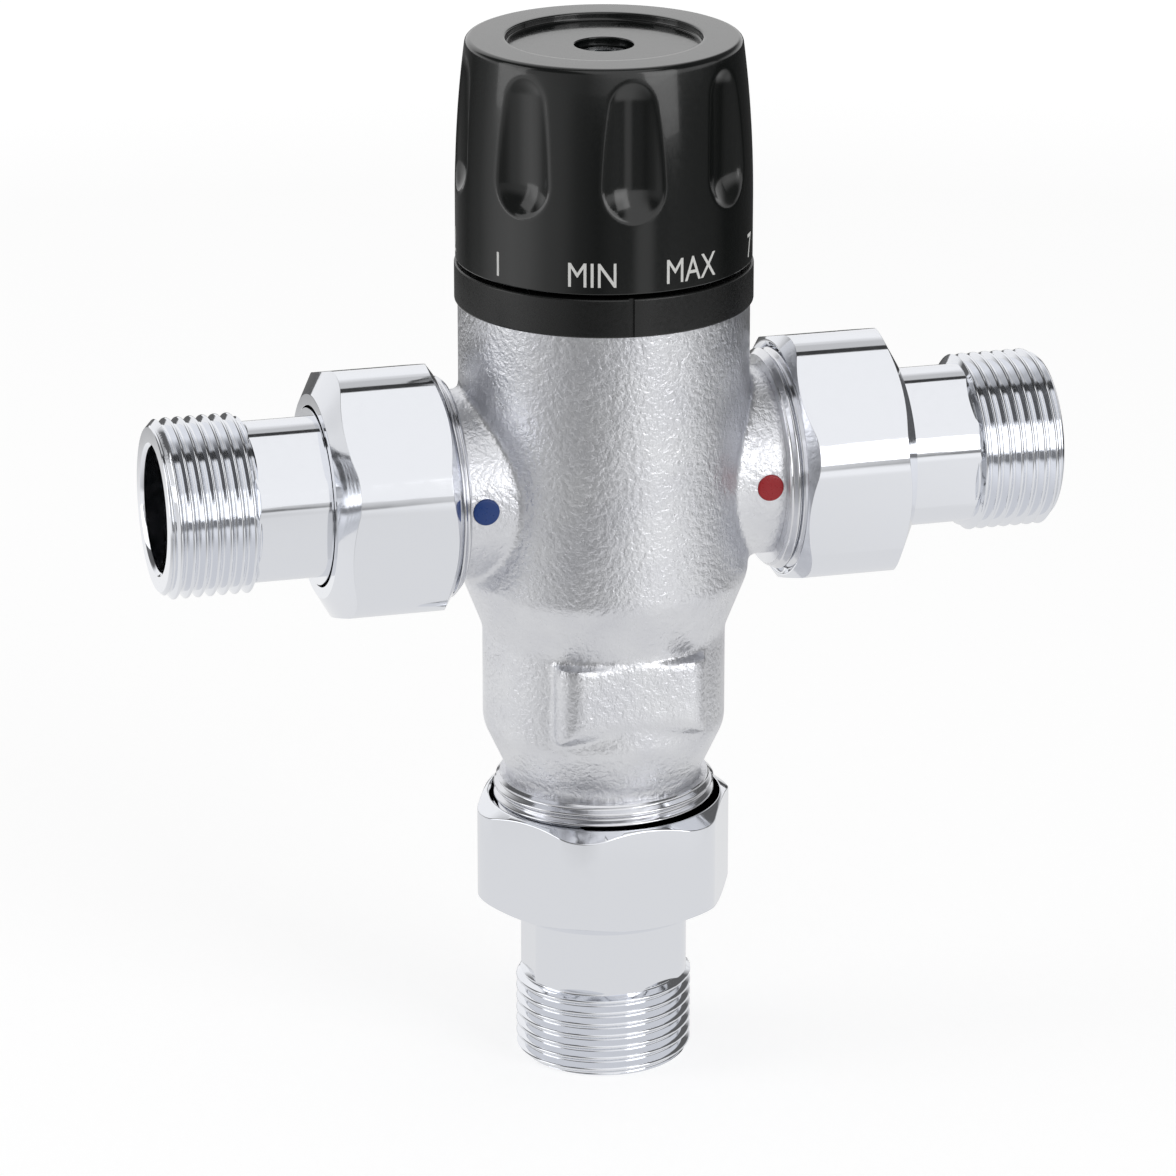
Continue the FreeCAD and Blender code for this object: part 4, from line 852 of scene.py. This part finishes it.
def build_floor():
    """A wide table top. It is plain white to look at. Glossy rays see a painted reflection on it: an emission
    pattern, brighter or darker by direction and distance, that puts highlights and dark bands on the chrome.
    """
    bm = bmesh.new()
    bmesh.ops.create_circle(bm, cap_ends=True, segments=96, radius=FLOOR_RADIUS)
    floor = to_object(bm, "floor")
    material, tree = new_material("white_table")
    spot = add_node(tree, "ShaderNodeSeparateXYZ", [
        ("Vector", add_node(tree, "ShaderNodeTexCoord").outputs["Object"])])
    x, y = spot.outputs["X"], spot.outputs["Y"]
    toward = compute(tree, "MULTIPLY", y, -1.0)
    around = turn_share(tree, x, toward)
    reach = compute(tree, "SQRT", compute(tree, "ADD", compute(tree, "MULTIPLY", x, x),
                                          compute(tree, "MULTIPLY", y, y)))
    near = add_node(tree, "ShaderNodeMapRange", [
        ("Value", reach), ("From Min", 0.11), ("From Max", 0.2)]).outputs["Result"]
    far = add_node(tree, "ShaderNodeMapRange", [
        ("Value", reach), ("From Min", 0.3), ("From Max", 0.4)]).outputs["Result"]
    # Painted reflection: emission ramps by direction, near the valve and far from it, seen only by glossy rays.
    painted_near_reflection = ramp(tree, around, FLOOR_NEAR_STOPS)
    outer = ramp(tree, around, FLOOR_FAR_STOPS)
    close = add_node(tree, "ShaderNodeMix", [("Factor", near), (6, (FLOOR_CLOSE,) * 3 + (1,)), (7, painted_near_reflection)],
                     data_type="RGBA").outputs[2]
    painted_reflection_pattern = add_node(tree, "ShaderNodeMix", [("Factor", far), (6, close), (7, outer)],
                       data_type="RGBA").outputs[2]
    painted_reflection_glow = add_node(tree, "ShaderNodeEmission", [("Color", painted_reflection_pattern), ("Strength", 1.0)])
    paper = add_node(tree, "ShaderNodeBsdfDiffuse", [("Color", rgb("#d8d8d8"))])
    lift = add_node(tree, "ShaderNodeMapRange", [
        ("Value", reach), ("From Min", 0.5), ("From Max", 1.5), ("To Min", FLOOR_GLOW), ("To Max", 1.0)])
    glow = add_node(tree, "ShaderNodeEmission", [("Strength", lift.outputs["Result"])])
    white = add_node(tree, "ShaderNodeAddShader", [(0, paper.outputs[0]), (1, glow.outputs[0])])
    dull = add_node(tree, "ShaderNodeMixShader", [
        (0, ray_is(tree, "Glossy", "Transmission")), (1, paper.outputs[0]), (2, painted_reflection_glow.outputs[0])])
    finish_material(tree, add_node(tree, "ShaderNodeMixShader", [
        (0, ray_is(tree, "Camera")), (1, dull.outputs[0]), (2, white.outputs[0])]))
    floor.data.materials.append(material)


FLOOR_RADIUS = 6.0
# Brightness of the painted reflection on the floor closest to the valve.
FLOOR_CLOSE = 0.80
FLOOR_GLOW = 0.55       # lifts the lit paper to white, so that only a shadow shows on it
# Painted reflection brightness by direction, in shares of a turn: 0.25 is the cold side, 0.5 the front and 0.75
# the hot side.
FLOOR_NEAR_STOPS = ((0.0, 0.9), (0.15, 1.0), (0.23, 0.8), (0.29, 0.5), (0.36, 0.35), (0.42, 0.2),
                    (0.47, 0.55), (0.53, 1.0), (0.68, 1.0), (0.75, 0.45), (0.88, 0.7), (1.0, 0.9))
FLOOR_FAR_STOPS = ((0.0, 0.15), (0.1, 0.08), (0.155, 0.25), (0.21, 0.75), (0.25, 1.0), (0.29, 0.95),
                   (0.333, 0.6), (0.37, 0.5), (0.4, 0.25), (0.445, 0.12), (0.48, 0.22), (0.515, 0.2),
                   (0.53, 0.7), (0.553, 0.7), (0.57, 0.2), (0.61, 0.25), (0.667, 0.2), (0.71, 0.15),
                   (0.75, 0.04), (0.92, 0.05), (1.0, 0.15))


def build_world():
    """A white studio backdrop. Glossy rays see a painted reflection: bright zones round the horizon, a dull band
    over the top, a dark gap overhead and dark upper side corners. Other rays see a plain, even light.
    """
    world = bpy.data.worlds.new("studio")
    bpy.context.scene.world = world
    world.use_nodes = True
    tree = world.node_tree
    tree.nodes.clear()
    place = add_node(tree, "ShaderNodeTexCoord")
    way = add_node(tree, "ShaderNodeSeparateXYZ", [("Vector", place.outputs["Generated"])])
    x, y, z = (way.outputs[axis] for axis in "XYZ")
    toward = compute(tree, "MULTIPLY", y, -1.0)
    # Painted reflection, seen only by glossy rays.
    painted_wall_reflection = ramp(tree, turn_share(tree, x, toward), PAINTED_WALL_REFLECTION_STOPS)
    over = compute(tree, "ARCTAN2", z, toward)
    painted_vault_reflection = ramp(tree, compute(tree, "DIVIDE", over, math.pi), PAINTED_VAULT_REFLECTION_STOPS)
    height = add_node(tree, "ShaderNodeMapRange", [
        ("Value", z), ("From Min", 0.25), ("From Max", 0.6)]).outputs["Result"]
    wall = add_node(tree, "ShaderNodeMix", [("Factor", height), (6, painted_wall_reflection), (7, (1, 1, 1, 1))],
                    data_type="RGBA").outputs[2]
    painted_sky_reflection = add_node(tree, "ShaderNodeMix", [("Factor", 1.0), (6, wall), (7, painted_vault_reflection)],
                        data_type="RGBA", blend_type="MULTIPLY").outputs[2]
    # Painted dark reflection in the upper corners to either side.
    aside = add_node(tree, "ShaderNodeMapRange", [
        ("Value", compute(tree, "ABSOLUTE", x)), ("From Min", 0.36), ("From Max", 0.5)]).outputs["Result"]
    high = add_node(tree, "ShaderNodeMapRange", [
        ("Value", z), ("From Min", 0.15), ("From Max", 0.35)]).outputs["Result"]
    seen = add_node(tree, "ShaderNodeMix", [
        ("Factor", compute(tree, "MULTIPLY", aside, high)), (6, painted_sky_reflection), (7, (PAINTED_CORNER_REFLECTION_DARK,) * 3 + (1,))],
        data_type="RGBA").outputs[2]
    plain = add_node(tree, "ShaderNodeBackground", [("Strength", WORLD_DULL)])
    mirror = add_node(tree, "ShaderNodeBackground", [("Color", seen), ("Strength", 1.0)])
    white = add_node(tree, "ShaderNodeBackground", [("Color", (1, 1, 1, 1)), ("Strength", 1.0)])
    soft = add_node(tree, "ShaderNodeMixShader", [
        (0, ray_is(tree, "Glossy", "Transmission")), (1, plain.outputs[0]), (2, mirror.outputs[0])])
    both = add_node(tree, "ShaderNodeMixShader", [
        (0, ray_is(tree, "Camera")), (1, soft.outputs[0]), (2, white.outputs[0])])
    output = add_node(tree, "ShaderNodeOutputWorld")
    tree.links.new(both.outputs[0], output.inputs["Surface"])


WORLD_DULL = 0.7
# Painted reflection brightness round the horizon, as on the floor.
PAINTED_WALL_REFLECTION_STOPS = ((0.0, 1.0), (0.12, 0.9), (0.25, 0.7), (0.35, 0.5), (0.42, 0.35), (0.47, 0.9), (0.5, 1.0),
              (0.69, 1.0), (0.76, 0.6), (0.88, 0.9), (1.0, 1.0))
# Painted reflection brightness over the top, as a share of the half turn from the front horizon to the back one.
PAINTED_VAULT_REFLECTION_STOPS = ((0.0, 1.0), (0.45, 1.0), (0.468, 0.05), (0.54, 0.05), (0.555, 0.6), (0.64, 0.6),
               (0.72, 1.0), (1.0, 1.0))
# Brightness of the painted dark reflection in the upper side corners.
PAINTED_CORNER_REFLECTION_DARK = 0.12


def build_lights():
    """Soft boxes around the valve: (name, place, width, height, power)."""
    target = Vector((0, 0, 80)) * MM
    for name, spot, width, height, power in (
            ("key_right", (0.6, -1.0, 0.35), 0.6, 0.9, 3.0),
            ("fill_left", (-1.1, 0.1, 0.4), 0.6, 0.9, 2.0)):
        data = bpy.data.lights.new(name, "AREA")
        data.shape = "RECTANGLE"
        data.size = width
        data.size_y = height
        data.energy = power
        lamp = bpy.data.objects.new(name, data)
        lamp.location = spot
        lamp.rotation_euler = (target - Vector(spot)).to_track_quat("-Z", "Y").to_euler()
        bpy.context.scene.collection.objects.link(lamp)


build_camera()
build_floor()
build_world()
build_lights()
bpy.context.scene.view_settings.view_transform = "Standard"
